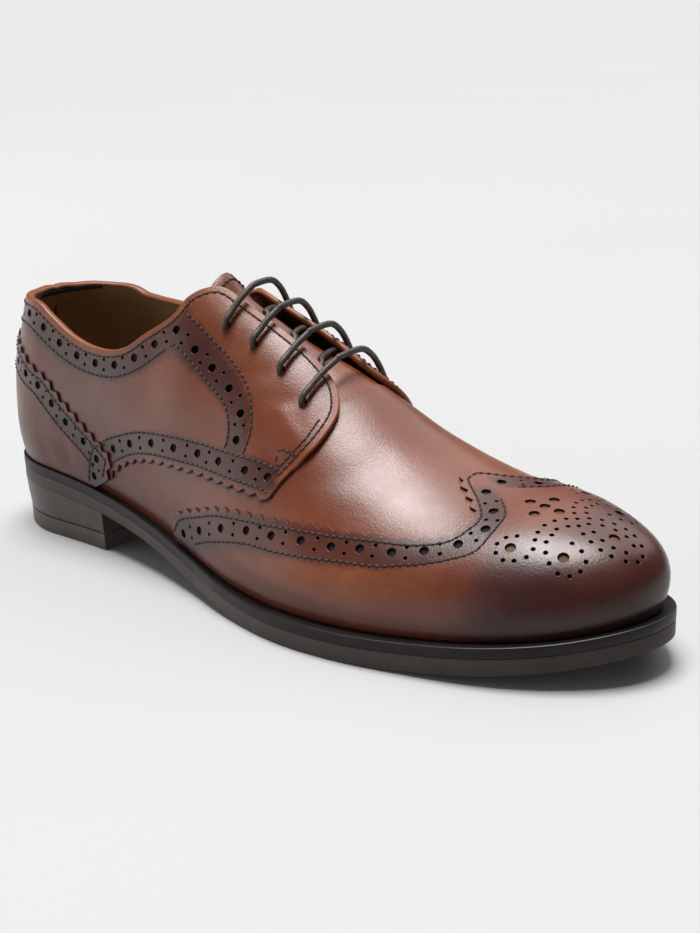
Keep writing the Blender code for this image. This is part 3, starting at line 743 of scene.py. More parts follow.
def tube_mesh(path, radius, sides, up=(0, 0, 1)):
    """Rings of points round a path, their normals and faces."""
    path = np.asarray(path, float)
    ahead = unit(np.gradient(path, axis=0))
    side = np.cross(ahead[0], np.array(up, float))
    side /= np.linalg.norm(side)
    rings, ways = [], []
    for spot_at, way, size in zip(path, ahead, np.broadcast_to(radius, len(path))):
        side = side - way*(side @ way)
        side /= np.linalg.norm(side)
        other = np.cross(way, side)
        angle = 2*math.pi*np.arange(sides)/sides
        ring = np.cos(angle)[:, None]*side + np.sin(angle)[:, None]*other
        rings.append(spot_at + ring*size)
        ways.append(ring)
    faces = []
    for i in range(len(path) - 1):
        for j in range(sides):
            k = (j + 1) % sides
            faces.append((i*sides + j, i*sides + k, (i + 1)*sides + k, (i + 1)*sides + j))
    return np.concatenate(rings), np.concatenate(ways), faces


THREAD_SIDES = 6
THREAD_RINGS = (0.0, 0.14, 0.5, 0.86, 1.0)     # shares of a stitch's length
THREAD_BOW = 1.15         # in thread radii: rise of a stitch's middle
THREAD_SINK = 0.75        # and depth of its ends
THREAD_END = 0.55         # share of the radius left at its ends


def stitches(name, lines, height, material, hole_material):
    """A row of threads along each chart line, with a needle hole between each two, painted dark as shade."""
    starts, ends, ups = [], [], []
    for line in lines:
        line = open_curve(line, 0.0006)
        run = run_along(line)
        count = max(1, int(run[-1]/STITCH_PITCH))
        offset = (run[-1] - (count - 1)*STITCH_PITCH - STITCH_LENGTH)/2
        heads = offset + STITCH_PITCH*np.arange(count)
        first = at_distances(line, run, heads)
        last = at_distances(line, run, heads + STITCH_LENGTH)
        a, na = layer(first[:, 0], first[:, 1], height)
        b, nb = layer(last[:, 0], last[:, 1], height)
        starts.append(a)
        ends.append(b)
        ups.append(unit(na + nb))
    start, end, up = np.concatenate(starts), np.concatenate(ends), np.concatenate(ups)
    way = unit(end - start)
    side = np.cross(up, way)
    points, normals, faces = [], [], []
    for t in THREAD_RINGS:
        bow = math.sin(math.pi*t)**0.5
        middle = start + (end - start)*t + up*(THREAD_RADIUS*(THREAD_BOW*bow - THREAD_SINK))
        for j in range(THREAD_SIDES):
            angle = 2*math.pi*j/THREAD_SIDES
            ray = side*math.cos(angle) + up*math.sin(angle)
            points.append(middle + ray*THREAD_RADIUS*(THREAD_END + (1 - THREAD_END)*bow))
            normals.append(unit(ray + way*(t - 0.5)*1.2))
    points = np.stack(points, 1).reshape(-1, 3)
    normals = np.stack(normals, 1).reshape(-1, 3)
    for k in range(len(THREAD_RINGS) - 1):
        for j in range(THREAD_SIDES):
            m = (j + 1) % THREAD_SIDES
            faces.append((k*THREAD_SIDES + j, k*THREAD_SIDES + m, (k + 1)*THREAD_SIDES + m,
                          (k + 1)*THREAD_SIDES + j))
    firsts = THREAD_SIDES*len(THREAD_RINGS)*np.arange(len(start))
    quads = (np.array(faces)[None] + firsts[:, None, None]).reshape(-1, 4)
    thread_mesh = finish_mesh(name, points, quads.tolist(), material, normals)
    between = end + way*(STITCH_PITCH - STITCH_LENGTH)/2
    discs(name + "_holes", between, up, way, NEEDLE_LONG, NEEDLE_WIDE, 7, hole_material)
    return thread_mesh


def discs(name, centres, ups, ways, long, wide, count, material, lift=0.00003):
    """Small dark ovals lying on a surface."""
    ways = unit(ways - ups*(ways*ups).sum(-1)[:, None])
    sides = np.cross(ups, ways)
    points, normals = [], []
    for j in range(count):
        angle = 2*math.pi*j/count
        points.append(centres + ups*lift + ways*(long*math.cos(angle)) + sides*(wide*math.sin(angle)))
        normals.append(ups)
    points = np.stack(points, 1).reshape(-1, 3)
    faces = [tuple(range(n*count, (n + 1)*count)) for n in range(len(centres))]
    return finish_mesh(name, points, faces, material, np.stack(normals, 1).reshape(-1, 3))


# Materials: every one is procedural

class Nodes:
    """Short names for building a material's nodes."""

    def __init__(self, name):
        self.material = bpy.data.materials.new(name)
        self.material.use_nodes = True
        self.tree = self.material.node_tree
        self.shader = self.tree.nodes["Principled BSDF"]

    def add(self, kind, **values):
        node = self.tree.nodes.new(kind)
        for key, value in values.items():
            if hasattr(node, key):
                setattr(node, key, value)
            else:
                node.inputs[key.replace("_", " ")].default_value = value
        return node

    def link(self, source, target):
        self.tree.links.new(source, target)

    def mapped(self, stretch=(1, 1, 1)):
        place = self.add("ShaderNodeTexCoord")
        mapping = self.add("ShaderNodeMapping")
        mapping.inputs["Scale"].default_value = stretch
        self.link(place.outputs["Object"], mapping.inputs["Vector"])
        return mapping.outputs["Vector"]

    def noise(self, scale, detail=2.0, roughness=0.5, stretch=(1, 1, 1)):
        node = self.add("ShaderNodeTexNoise", Scale=scale, Detail=detail, Roughness=roughness)
        self.link(self.mapped(stretch), node.inputs["Vector"])
        return node.outputs["Fac"]

    def cells(self, scale):
        node = self.add("ShaderNodeTexVoronoi", Scale=scale)
        self.link(self.mapped(), node.inputs["Vector"])
        return node.outputs["Distance"]

    def maths(self, operation, a, b=0.5, c=0.0):
        node = self.add("ShaderNodeMath", operation=operation)
        for socket, value in zip(node.inputs, (a, b, c)):
            if isinstance(value, (int, float)):
                socket.default_value = value
            else:
                self.link(value, socket)
        return node.outputs["Value"]

    def between(self, value, low, high, to_low=0.0, to_high=1.0):
        node = self.add("ShaderNodeMapRange")
        self.link(value, node.inputs["Value"])
        for key, number in (("From Min", low), ("From Max", high), ("To Min", to_low), ("To Max", to_high)):
            node.inputs[key].default_value = number
        return node.outputs["Result"]

    def ramp(self, value, stops):
        node = self.add("ShaderNodeValToRGB")
        ramp = node.color_ramp
        ramp.interpolation = "B_SPLINE" if len(stops) > 3 else "LINEAR"
        while len(ramp.elements) < len(stops):
            ramp.elements.new(0.5)
        for element, (place, colour) in zip(ramp.elements, stops):
            element.position = place
            element.color = (*colour, 1)
        self.link(value, node.inputs["Fac"])
        return node.outputs["Color"]

    def bumps(self, layers):
        """layers are (height, strength, distance)."""
        normal = None
        for height, strength, distance in layers:
            node = self.add("ShaderNodeBump", Strength=strength, Distance=distance)
            self.link(height, node.inputs["Height"])
            if normal:
                self.link(normal, node.inputs["Normal"])
            normal = node.outputs["Normal"]
        self.link(normal, self.shader.inputs["Normal"])

    def set(self, **values):
        for key, value in values.items():
            socket = self.shader.inputs[key.replace("_", " ")]
            if isinstance(value, (int, float, tuple)):
                socket.default_value = value
            else:
                self.link(value, socket)
        return self.material


# Tone 0 is the darkest burnish, and the painted shade at the bottom of holes; 1 is the palest tan
LEATHER_TONES = (
    (0.00, (0.015, 0.0040, 0.0040)),
    (0.20, (0.042, 0.0085, 0.0062)),
    (0.40, (0.084, 0.0165, 0.0078)),
    (0.60, (0.150, 0.0325, 0.0105)),
    (0.80, (0.202, 0.0500, 0.0140)),
    (1.00, (0.320, 0.1050, 0.0350)),
)


def leather(name, roughness=0.35, coat=0.21):
    nodes = Nodes(name)
    tone = nodes.add("ShaderNodeAttribute", attribute_name="tone").outputs["Fac"]
    cloud = nodes.between(nodes.noise(26, 3.0, 0.55), 0.3, 0.7, -0.07, 0.07)
    mottle = nodes.between(nodes.noise(420, 2.0, 0.6), 0.3, 0.7, -0.030, 0.030)
    varied = nodes.maths("ADD", nodes.maths("ADD", tone, cloud), mottle)
    colour = nodes.ramp(varied, LEATHER_TONES)
    pores = nodes.cells(1500)
    grain = nodes.noise(900, 3.0, 0.6)
    ripple = nodes.noise(150, 2.0, 0.5)
    nodes.bumps(((ripple, 0.12, 0.0008), (grain, 0.30, 0.00020), (pores, 0.25, 0.00014)))
    gloss = nodes.between(nodes.noise(60, 3.0, 0.6), 0.3, 0.7, roughness - 0.045, roughness + 0.055)
    gloss = nodes.maths("ADD", gloss, nodes.between(tone, 0.70, 0.80, 0.0, 0.07))
    wax = nodes.between(tone, 0.70, 0.80, coat, 0.0)
    return nodes.set(Base_Color=colour, Roughness=gloss, Coat_Weight=wax, Coat_Roughness=0.29,
                     Specular_IOR_Level=0.42)


def plain_leather(name, dark, pale, roughness):
    """Lining and sock leather: matt, with a faint cloud and grain."""
    nodes = Nodes(name)
    cloud = nodes.noise(45, 3.0, 0.6)
    colour = nodes.ramp(nodes.between(cloud, 0.3, 0.7), ((0.0, dark), (1.0, pale)))
    nodes.bumps(((nodes.noise(1100, 3.0, 0.6), 0.25, 0.00015), (nodes.cells(900), 0.15, 0.0001)))
    return nodes.set(Base_Color=colour, Roughness=roughness, Specular_IOR_Level=0.3)


def rubber(name, dark, pale, roughness):
    nodes = Nodes(name)
    cloud = nodes.between(nodes.noise(70, 3.0, 0.6), 0.3, 0.7)
    streaks = nodes.noise(120, 2.0, 0.5, (0.25, 0.25, 14))
    mixed = nodes.maths("MULTIPLY_ADD", streaks, 0.5, nodes.maths("MULTIPLY", cloud, 0.5))
    colour = nodes.ramp(mixed, ((0.2, dark), (0.8, pale)))
    nodes.bumps(((streaks, 0.14, 0.0002), (nodes.noise(1300, 2.0, 0.6), 0.18, 0.00010)))
    gloss = nodes.between(cloud, 0.0, 1.0, roughness - 0.04, roughness + 0.06)
    return nodes.set(Base_Color=colour, Roughness=gloss, Specular_IOR_Level=0.28)


def thread_material(name, dark, pale, roughness, scale):
    nodes = Nodes(name)
    twist = nodes.noise(scale, 2.0, 0.5, (1, 1, 1.6))
    colour = nodes.ramp(nodes.between(twist, 0.3, 0.7), ((0.0, dark), (1.0, pale)))
    nodes.bumps(((twist, 0.35, 0.00015),))
    return nodes.set(Base_Color=colour, Roughness=roughness, Specular_IOR_Level=0.5)


leather_upper = leather("burnished_leather")
lining_leather = plain_leather("lining_leather", (0.20, 0.105, 0.045), (0.30, 0.165, 0.075), 0.62)
backing_leather = plain_leather("facing_backing", (0.055, 0.024, 0.012), (0.100, 0.045, 0.020), 0.6)
sock_leather = plain_leather("sock_leather", (0.17, 0.090, 0.040), (0.25, 0.140, 0.065), 0.6)
tape = plain_leather("collar_tape", (0.010, 0.022, 0.024), (0.018, 0.035, 0.036), 0.5)
# Near black as painted shade: beds seen through punched holes, and needle holes
hole_shade_paint = plain_leather("hole_shadow", (0.006, 0.003, 0.002), (0.014, 0.006, 0.004), 0.8)
hole_tan = plain_leather("hole_lining", (0.075, 0.035, 0.015), (0.16, 0.085, 0.040), 0.7)
thread = thread_material("waxed_thread", (0.012, 0.007, 0.006), (0.050, 0.026, 0.019), 0.55, 1800)
welt_rubber = rubber("welt_edge", (0.007, 0.0045, 0.0045), (0.014, 0.0090, 0.0088), 0.40)
sole_rubber = rubber("sole_edge", (0.064, 0.0510, 0.0460), (0.102, 0.0850, 0.0780), 0.48)
heel_rubber = rubber("heel_stack", (0.086, 0.0670, 0.0620), (0.132, 0.1070, 0.1000), 0.34)
tread_rubber = rubber("top_piece_rubber", (0.086, 0.0680, 0.0610), (0.132, 0.1080, 0.0980), 0.45)


# The pattern pieces: lines are (millimetres from the heel, share down), lateral side

def line_of(rows, side=-1):
    return [spot(x, down, side) for x, down in rows]


QUARTER_FOOT = ((169.9, 0.692), (163.5, 0.690), (156.5, 0.696), (143.2, 0.708), (130.9, 0.708),
                (117.7, 0.720), (105.5, 0.739), (94.0, 0.778), (83.5, 0.846), (75.5, 0.925))
QUARTER_HOLES = ((167.0, 0.597), (156.5, 0.610), (142.7, 0.623), (130.9, 0.617), (117.7, 0.629),
                 (104.7, 0.647), (91.5, 0.692), (80.7, 0.757))
QUARTER_STITCH = ((171.6, 0.557), (166.1, 0.551), (155.7, 0.560), (144.1, 0.574), (132.1, 0.572),
                  (120.3, 0.578), (107.7, 0.594), (94.4, 0.626), (80.2, 0.699), (74.0, 0.745))
FACING_HOLES = ((108.6, 0.191), (119.1, 0.220), (128.5, 0.253), (138.7, 0.306), (147.5, 0.389),
                (148.8, 0.505))
FACING_STITCH = ((110.1, 0.142), (121.4, 0.165), (134.8, 0.206), (145.0, 0.269), (150.4, 0.339),
                 (154.0, 0.440), (153.6, 0.553))
FACING_INNER = ((106.0, 0.245), (110.3, 0.232), (118.9, 0.259), (128.2, 0.305), (137.6, 0.361),
                (142.4, 0.418), (144.6, 0.494), (144.1, 0.573))
# Two short rows that tack down the facing's lower corner
TACK_ROWS = (((166.5, 0.473), (170.5, 0.462), (174.6, 0.468)),
             ((166.5, 0.480), (168.0, 0.520), (170.6, 0.552)))
# Upper edge of the second leather behind the eyelets
BACKING_EDGE = ((158, 0.50), (140, 0.40), (125, 0.30), (112, 0.22))
# Front edge of the quarters: share of length, then how far down, lateral and medial
FRONT_EDGE = ((0.345, 0.168, 0.170), (0.358, 0.112, 0.126), (0.374, 0.072, 0.100), (0.392, 0.046, 0.084),
              (0.420, 0.040, 0.080), (0.470, 0.040, 0.082), (0.515, 0.046, 0.090), (0.545, 0.058, 0.100),
              (0.568, 0.086, 0.122), (0.585, 0.155, 0.175), (0.592, 0.245, 0.250), (0.591, 0.380, 0.380),
              (0.583, 0.480, 0.480), (0.570, 0.590, 0.590))
COUNTER_EDGE = ((75.5, 0.942), (78.2, 0.880), (79.8, 0.825), (77.5, 0.788), (72.0, 0.748), (64.7, 0.698),
                (56.9, 0.635), (48.5, 0.565), (41.1, 0.490))
# Its run round the heel, and the band's: quarter turn from the side to the back, share down
COUNTER_BACK = ((0.12, 0.438), (0.45, 0.375), (0.8, 0.340), (1.0, 0.335))
COUNTER_TURN = ((1.0, 0.437), (0.78, 0.440), (0.55, 0.450), (0.35, 0.472), (0.17, 0.505), (0.0, 0.546))
COUNTER_HOLES = ((44.3, 0.625), (52.3, 0.707), (62.7, 0.778), (70.5, 0.842), (67.4, 0.930))
COUNTER_CROSSING = ((75.5, 0.752), (69.5, 0.788), (66.5, 0.850), (64.5, 0.920), (63.0, 0.968))
WING_EDGE = ((223.1, 0.000), (224.0, 0.085), (227.0, 0.150), (232.4, 0.240), (236.9, 0.330), (239.7, 0.405),
             (239.2, 0.465), (237.6, 0.540), (233.7, 0.587), (225.8, 0.628), (213.1, 0.658), (197.0, 0.693),
             (177.2, 0.725), (153.5, 0.768), (138.2, 0.815), (123.7, 0.870), (117.5, 0.940))
WING_HOLES = ((127.1, 0.934), (138.4, 0.889), (151.5, 0.842), (164.8, 0.808), (176.8, 0.790), (189.6, 0.771),
              (201.4, 0.758), (211.6, 0.735), (222.6, 0.715), (232.7, 0.674), (242.1, 0.600), (247.1, 0.461),
              (244.4, 0.284), (235.8, 0.098))
WING_STITCH = ((133.4, 0.947), (146.0, 0.898), (165.2, 0.847), (181.3, 0.831), (195.1, 0.814), (207.6, 0.794),
               (219.7, 0.777), (227.4, 0.752), (233.3, 0.731), (241.8, 0.686), (248.4, 0.626), (250.2, 0.542),
               (250.4, 0.402), (248.5, 0.266), (242.0, 0.107))
HEM = 0.985

# Medallion on the toe, in millimetres from the heel and from its own axis, mirrored across it
MEDALLION_AXIS = -0.0014
MEDALLION_BIG = ((251.8, 0), (257.3, 0), (262.8, 0), (257.1, 5.7), (258.9, 21.4), (275.2, 16.2), (283.3, 0))
MEDALLION_SMALL = (
    (269.7, 0), (267.0, 2.3), (264.7, 5.4), (263.3, 9.0), (263.3, 12.7), (264.3, 15.7), (265.7, 18.7),
    (265.2, 21.7), (262.3, 24.2), (259.0, 25.5), (255.6, 24.6), (254.2, 21.9), (255.5, 18.9), (258.4, 17.0),
    (272.2, 3.0), (269.7, 5.3), (267.5, 8.5), (267.7, 11.5), (267.8, 14.7), (269.7, 17.8), (272.4, 19.8),
    (276.0, 20.4), (279.3, 18.9), (281.4, 16.2), (281.5, 13.2), (278.7, 11.4), (274.8, 10.8),
    (275.4, 5.4), (279.1, 6.7), (283.0, 7.3), (286.5, 6.7), (290.2, 4.6), (292.4, 1.5),
    (273.9, 0), (277.4, 2.5), (281.4, 3.8), (285.4, 3.8), (288.9, 2.2),
)


def chart_at(x, y):
    """Chart points whose places on the last have these plan coordinates."""
    x, y = np.array(x, float), np.array(y, float)
    u, v = x.copy(), y*1.1
    for _ in range(25):
        along, across, _ = slopes(u, v)
        gap = np.stack([x, y], -1) - on_last(u, v)[:, :2]
        area = along[:, 0]*across[:, 1] - along[:, 1]*across[:, 0]
        u = u + np.clip((gap[:, 0]*across[:, 1] - gap[:, 1]*across[:, 0])/area, -0.004, 0.004)
        v = v + np.clip((gap[:, 1]*along[:, 0] - gap[:, 0]*along[:, 1])/area, -0.004, 0.004)
    return u, v


def medallion():
    holes = []
    for rows, radius in ((MEDALLION_BIG, MEDALLION_HOLE), (MEDALLION_SMALL, MEDALLION_DOT)):
        places = [(x/1000, MEDALLION_AXIS + side*away/1000) for x, away in rows for side in (-1, 1)
                  if away or side > 0]
        u, v = chart_at([place[0] for place in places], [place[1] for place in places])
        holes += [(a, b, radius) for a, b in zip(u, v)]
    return holes


def front_line(side):
    return [(row[0]*LENGTH, side*row[1 if side < 0 else 2]*CHART) for row in FRONT_EDGE]


def collar_line(side, column):
    points = [back_spot(row[0], row[column], side) for row in HEEL_LINE[::-1]]
    return points + [(row[0]*LENGTH, side*row[column]*CHART) for row in TOP_LINE]


def top_band(side, column):
    """Big holes at even steps below the collar, from the middle of the back to the facing band."""
    curve = open_curve(collar_line(side, column) + [(0.350*LENGTH, side*0.150*CHART)], 0.001)
    curve = beside(curve, TOP_BAND_DROP*side)
    end = np.array(line_of(FACING_HOLES, side)[0])
    curve = np.concatenate([curve[curve[:, 0] < end[0] - 0.004], [end]])
    run = run_along(curve)
    count = int(round(run[-1]/HOLE_PITCH))
    return [tuple(place) for place in at_distances(curve, run, np.linspace(0, run[-1], count + 1))]


TOP_BAND = {-1: top_band(-1, 1), 1: top_band(1, 2)}
COUNTER_BAND = {side: [back_spot(turn, down, side) for turn, down in COUNTER_TURN]
                + line_of(COUNTER_HOLES, side) for side in (-1, 1)}


def banded(u, v, bands):
    """1 inside a burnished band, falling to 0 a little beyond its stitching."""
    best = np.full(u.shape, 1.0)
    for line in bands:
        best = np.minimum(best, line_distance(u, v, line)[0])
    return 1 - smooth_step(BAND_HALF - 0.0006, BAND_HALF + 0.0010, best)


VAMP_TONE = 0.63
QUARTER_BURNISH = 0.02
FACING_GLOW = 0.04
TOE_BURNISH = 0.40
FEATHER_BURNISH = 0.14
WING_GLOW = 0.16
HEEL_BURNISH = 0.08
BAND_BURNISH = 0.36
# tone of the painted highlight along the rolled rims of the quarters
RIM_HIGHLIGHT_TONE = 0.84


def base_tone(u, v):
    """Burnish before the bands: palest on the facings, darkest at toe tip and along the feather line."""
    down = np.hypot(u - np.clip(u, HEEL_CENTRE, TOE_CENTRE), v)/CHART
    tone = VAMP_TONE - QUARTER_BURNISH*(1 - smooth_step(0.090, 0.170, u)) + 0*u
    tone = tone + FACING_GLOW*facing_share(u, v)
    tone = tone - TOE_BURNISH*smooth_step(0.236, 0.276, u)*smooth_step(0.30, 0.62, down)
    tone = tone - FEATHER_BURNISH*smooth_step(0.82, 1.0, down)
    beside_wing = smooth_step(0.60, 0.85, down)*(1 - smooth_step(0.85, 1.0, down))
    tone = tone + WING_GLOW*np.exp(-((u - 0.200)/0.032)**2)*beside_wing
    tone = tone - HEEL_BURNISH*(1 - smooth_step(0.060, 0.110, u))
    return tone


def tone_with(bands, rims=()):
    """Burnish of a piece: darker in its bands, and paler along its rims as a painted highlight on the rolled
    edge.
    """
    def tone(u, v):
        rim_highlight = 0*u
        for line in rims:
            rim_highlight = np.maximum(rim_highlight, 1 - smooth_step(0.0011, 0.0026, line_distance(u, v, line)[0]))
        return (base_tone(u, v) - BAND_BURNISH*banded(u, v, bands))*(1 - rim_highlight) + RIM_HIGHLIGHT_TONE*rim_highlight
    return tone


# Collar and throat edge of the base, as in the CAD source

def down_at(share, away):
    share, away = np.array(share, float), np.array(away, float)
    side = np.where(away >= 0, 1.0, -1.0)
    x = share*LENGTH

    def past(down):
        point = on_last(x, side*down*CHART)
        return side*(point[:, 1] - crest_y(point[:, 0], point[:, 2])) >= np.abs(away)
    return side*bisect(past, 0*x + 0.6)


def crest_frames(share, away):
    """Points on the last measured across from the crest (medial positive), with outward normals."""
    x = np.array(share, float)*LENGTH
    across = down_at(share, away)*CHART
    return on_last(x, across), slopes(x, across)[2]


def collar_outline():
    loop = []
    for side, column in SIDES:
        shares = [row[0] for row in THROAT]
        downs = np.abs(down_at(shares, [side*row[1] for row in THROAT]))
        half = collar_line(side, column)
        half += [(share*LENGTH, side*float(down)*CHART) for share, down in zip(shares, downs)]
        loop += half if side < 0 else half[-2:0:-1]
    return loop


def closed_curve(points, step):
    points = list(points)
    whole = open_curve(points[-2:] + points + points[:2], step)
    first = np.linalg.norm(whole - np.array(points[0]), axis=1)
    starts = np.where(first < 1e-9)[0]
    return whole[starts[0]:starts[-1]] if len(starts) > 1 else open_curve(points + points[:1], step)[:-1]


def foot_outline(down, count=60):
    """Round the whole last at one share of the way down."""
    sides = np.linspace(HEEL_CENTRE, TOE_CENTRE, count)
    turns = np.linspace(0, 1, count//2)
    loop = [(x, -down*CHART) for x in sides[:-1]]
    loop += [toe_spot(turn, down, -1) for turn in turns[:-1]]
    loop += [toe_spot(turn, down, 1) for turn in turns[:0:-1]]
    loop += [(x, down*CHART) for x in sides[:0:-1]]
    loop += [back_spot(turn, down, 1) for turn in turns[:-1]]
    loop += [back_spot(turn, down, -1) for turn in turns[:0:-1]]
    return np.array(loop)


def rides(thing, node=None, *more):
    """Fix a piece to the shoe and hide the CAD parts listed after node; node itself is not used."""
    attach(thing, "root")
    if more:
        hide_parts(*more)
    return thing


def under_holes(name, holes, height, node, material=hole_shade_paint):
    """A bed a little wider than each punched hole, on the layer below; by default near black as painted
    shade.
    """
    holes = np.array(holes, float)
    points, normals = layer(holes[:, 0], holes[:, 1], height)
    size = BED_SPREAD*holes[:, 2:]
    ways = np.tile([1.0, 0.1, 0.05], (len(points), 1))
    rides(discs(name, points, normals, ways, size, size, 12, material, 0.0), node)


collar_hole = closed_curve(collar_outline(), 0.0012)
rides(sheet("vamp", foot_outline(1.0), level(VAMP_HEIGHT), None, leather_upper, [collar_hole], 0.0021,
            tone=base_tone), "upper", "upper")
rides(sheet("lining", foot_outline(0.99), level(-WALL), None, lining_leather, [collar_hole], 0.0030,
            inside_out=True), "insole")

TAPE_TOP = 0.243
TAPE_FOOT = 0.255
TAPE_TURNS = ((0.45, 1), (0.6, 1), (0.8, 1), (1.0, 1), (0.85, -1), (0.7, -1))     # quarter turn, side
tape_rows = [back_spot(turn, TAPE_TOP, side) for turn, side in TAPE_TURNS]
tape_rows += [back_spot(turn, TAPE_FOOT, side) for turn, side in TAPE_TURNS[::-1]]
rides(sheet("collar_tape", tape_rows, level(-WALL - 0.0003), None, tape, [], 0.0010, inside_out=True),
      "insole")
seams = [[back_spot(1.0, down, 1) for down in (0.29, 0.45, 0.62, 0.80, 0.93)],
         [spot(x, down, 1) for x, down in ((88, 0.27), (86, 0.45), (83, 0.65), (80, 0.90))],
         [spot(x, down, -1) for x, down in ((86, 0.32), (84, 0.50), (82, 0.70), (80, 0.90))]]
rides(stitches("lining_seams", seams, level(-WALL - 0.0004), backing_leather, hole_shade_paint), "insole")
rides(bpy.data.objects["lining_seams_holes"], "insole")


# Quarters

def quarter_outline():
    """Outline of the joined quarters, forward on the lateral side, with the depth its edge turns down."""
    loop, depths = [], []
    for side, column in SIDES:
        collar = open_curve(collar_line(side, column)[:-1] + front_line(side), 0.0009)
        foot = pinked(line_of(QUARTER_FOOT, side), side)
        hem = [spot(70.0, 0.95, side)] + [spot(x, HEM, side) for x in (66, 60, 52, 44, 37)]
        hem += [back_spot(turn, HEM, side) for turn in np.linspace(0, 1, 24)]
        half = np.concatenate([collar, foot, np.array(hem)])
        top = quarter_height(collar[:, 0], collar[:, 1])
        over_vamp = smooth_step(0.172, 0.178, collar[:, 0])
        behind = 1 - smooth_step(0.100, 0.116, collar[:, 0])
        inner = FACING_LEATHER*(1 - over_vamp) + (top - VAMP_HEIGHT + 0.0001)*over_vamp
        depth = np.concatenate([inner*(1 - behind) + (top + WALL)*behind,
                                np.full(len(foot) + len(hem), QUARTER_HEIGHT - VAMP_HEIGHT)])
        if side > 0:
            half, depth = half[::-1][1:-1], depth[::-1][1:-1]
        loop.append(half)
        depths.append(depth)
    return np.concatenate(loop), np.concatenate(depths)


# Share of length, distance from the crest
EYELETS = ((0.420, 0.0157), (0.463, 0.0162), (0.509, 0.0185), (0.551, 0.0225))


def eyelet_holes():
    holes = []
    for side in (-1, 1):
        shares = [row[0] for row in EYELETS]
        downs = down_at(shares, [side*row[1] for row in EYELETS])
        holes += [(share*LENGTH, float(down)*CHART, EYELET) for share, down in zip(shares, downs)]
    return holes


quarter_bands, quarter_rims = [], []
quarter_holes = eyelet_holes()
for side, column in SIDES:
    quarter_rims.append(open_curve(collar_line(side, column)[:-1] + front_line(side), 0.004))
    quarter_bands += [TOP_BAND[side], line_of(FACING_HOLES, side), line_of(QUARTER_HOLES, side)]
    quarter_holes += band_holes(TOP_BAND[side])
    quarter_holes += band_holes(line_of(FACING_HOLES, side))[1:]
    quarter_holes += band_holes(line_of(QUARTER_HOLES, side))


def separate(holes):
    """Holes that neither repeat nor touch one listed before."""
    kept = []
    for hole in holes:
        if all(math.hypot(hole[0] - old[0], hole[1] - old[1]) > 1.25*(hole[2] + old[2]) for old in kept):
            kept.append(hole)
    return kept


quarter_holes = separate(quarter_holes)
quarter_loop, quarter_depth = quarter_outline()
# The edge is rolled along the collar and front and carries the rims' painted highlight; where it is pinked it
# is dyed dark, with painted shadow under the teeth
quarter_edge = np.where(quarter_depth > QUARTER_HEIGHT, 1.0, PINKED_DYE_AND_SHADOW)
rides(sheet("quarters", quarter_loop, quarter_height, quarter_depth, leather_upper, quarter_holes,
            bulge=0.0007, turn="half", tone=tone_with(quarter_bands, quarter_rims), edge_tone=quarter_edge),
      "facing_lateral", "facing_lateral", "facing_medial")
under_holes("quarter_hole_beds", quarter_holes, level(VAMP_HEIGHT + BED_LIFT), "facing_lateral")

for side, word in ((-1, "lateral"), (1, "medial")):
    outline = closed_curve(front_line(side)[1:-1] + line_of(BACKING_EDGE, side), 0.0012)
    rides(sheet("facing_backing_" + word, outline, lambda u, v: quarter_height(u, v) - FACING_LEATHER, None,
                backing_leather, [], 0.0024, inside_out=True), "tongue")


# Heel counter and wing cap

def counter_edge(side):
    return line_of(COUNTER_EDGE, side) + [back_spot(turn, down, side) for turn, down in COUNTER_BACK]


def counter_outline():
    loop = []
    for side in (-1, 1):
        edge = pinked(counter_edge(side), -side)
        hem = [back_spot(turn, HEM, side) for turn in np.linspace(1, 0, 24)]
        hem += [spot(x, HEM, side) for x in (37, 44, 52, 60, 66)]
        half = np.concatenate([np.array(hem), edge])
        loop.append(half if side < 0 else half[::-1][1:-1])
    return np.concatenate(loop)


counter_holes = separate(band_holes(COUNTER_BAND[-1]) + band_holes(COUNTER_BAND[1]))
rides(sheet("counter", counter_outline(), level(COUNTER_HEIGHT), COUNTER_HEIGHT - QUARTER_HEIGHT,
            leather_upper, counter_holes, bulge=PINKED_BULGE,
            tone=tone_with([COUNTER_BAND[-1], COUNTER_BAND[1]]), edge_tone=PINKED_DYE_AND_SHADOW),
      "heel_counter", "heel_counter")
under_holes("counter_hole_beds", counter_holes, level(QUARTER_HEIGHT + BED_LIFT), "heel_counter")


def wing_outline():
    lateral = pinked(line_of(WING_EDGE, -1), 1)
    medial = pinked(line_of(WING_EDGE, 1), -1)
    hems = np.linspace(WING_EDGE[-1][0], TOE_CENTRE*1000, 60)[1:-1]
    turns = np.linspace(0, 1, 40)
    hem = [spot(x, HEM, -1) for x in hems] + [toe_spot(turn, HEM, -1) for turn in turns[:-1]]
    hem += [toe_spot(turn, HEM, 1) for turn in turns[::-1]] + [spot(x, HEM, 1) for x in hems[::-1]]
    return np.concatenate([lateral[1:], np.array(hem), medial[::-1][:-1]])


wing_bands = [line_of(WING_HOLES, side) for side in (-1, 1)]
wing_holes = separate(medallion() + band_holes(wing_bands[0]) + band_holes(wing_bands[1]))
rides(sheet("wing", wing_outline(), level(WING_HEIGHT), WING_HEIGHT - VAMP_HEIGHT, leather_upper,
            wing_holes, bulge=PINKED_BULGE, tone=tone_with(wing_bands), edge_tone=PINKED_DYE_AND_SHADOW),
      "wing_cap", "wing_cap")
large = [hole for hole in wing_holes if hole[2] == MEDALLION_HOLE]
small = [hole for hole in wing_holes if hole[2] != MEDALLION_HOLE]
under_holes("wing_hole_beds", small, level(VAMP_HEIGHT + BED_LIFT), "wing_cap")
under_holes("medallion_beds", large, level(VAMP_HEIGHT + BED_LIFT), "wing_cap", hole_tan)


# Stitching

def row_beside(points, away):
    """Stitch row at a real distance to the left of a curve through chart points."""
    return beside(open_curve(points, 0.002), away)


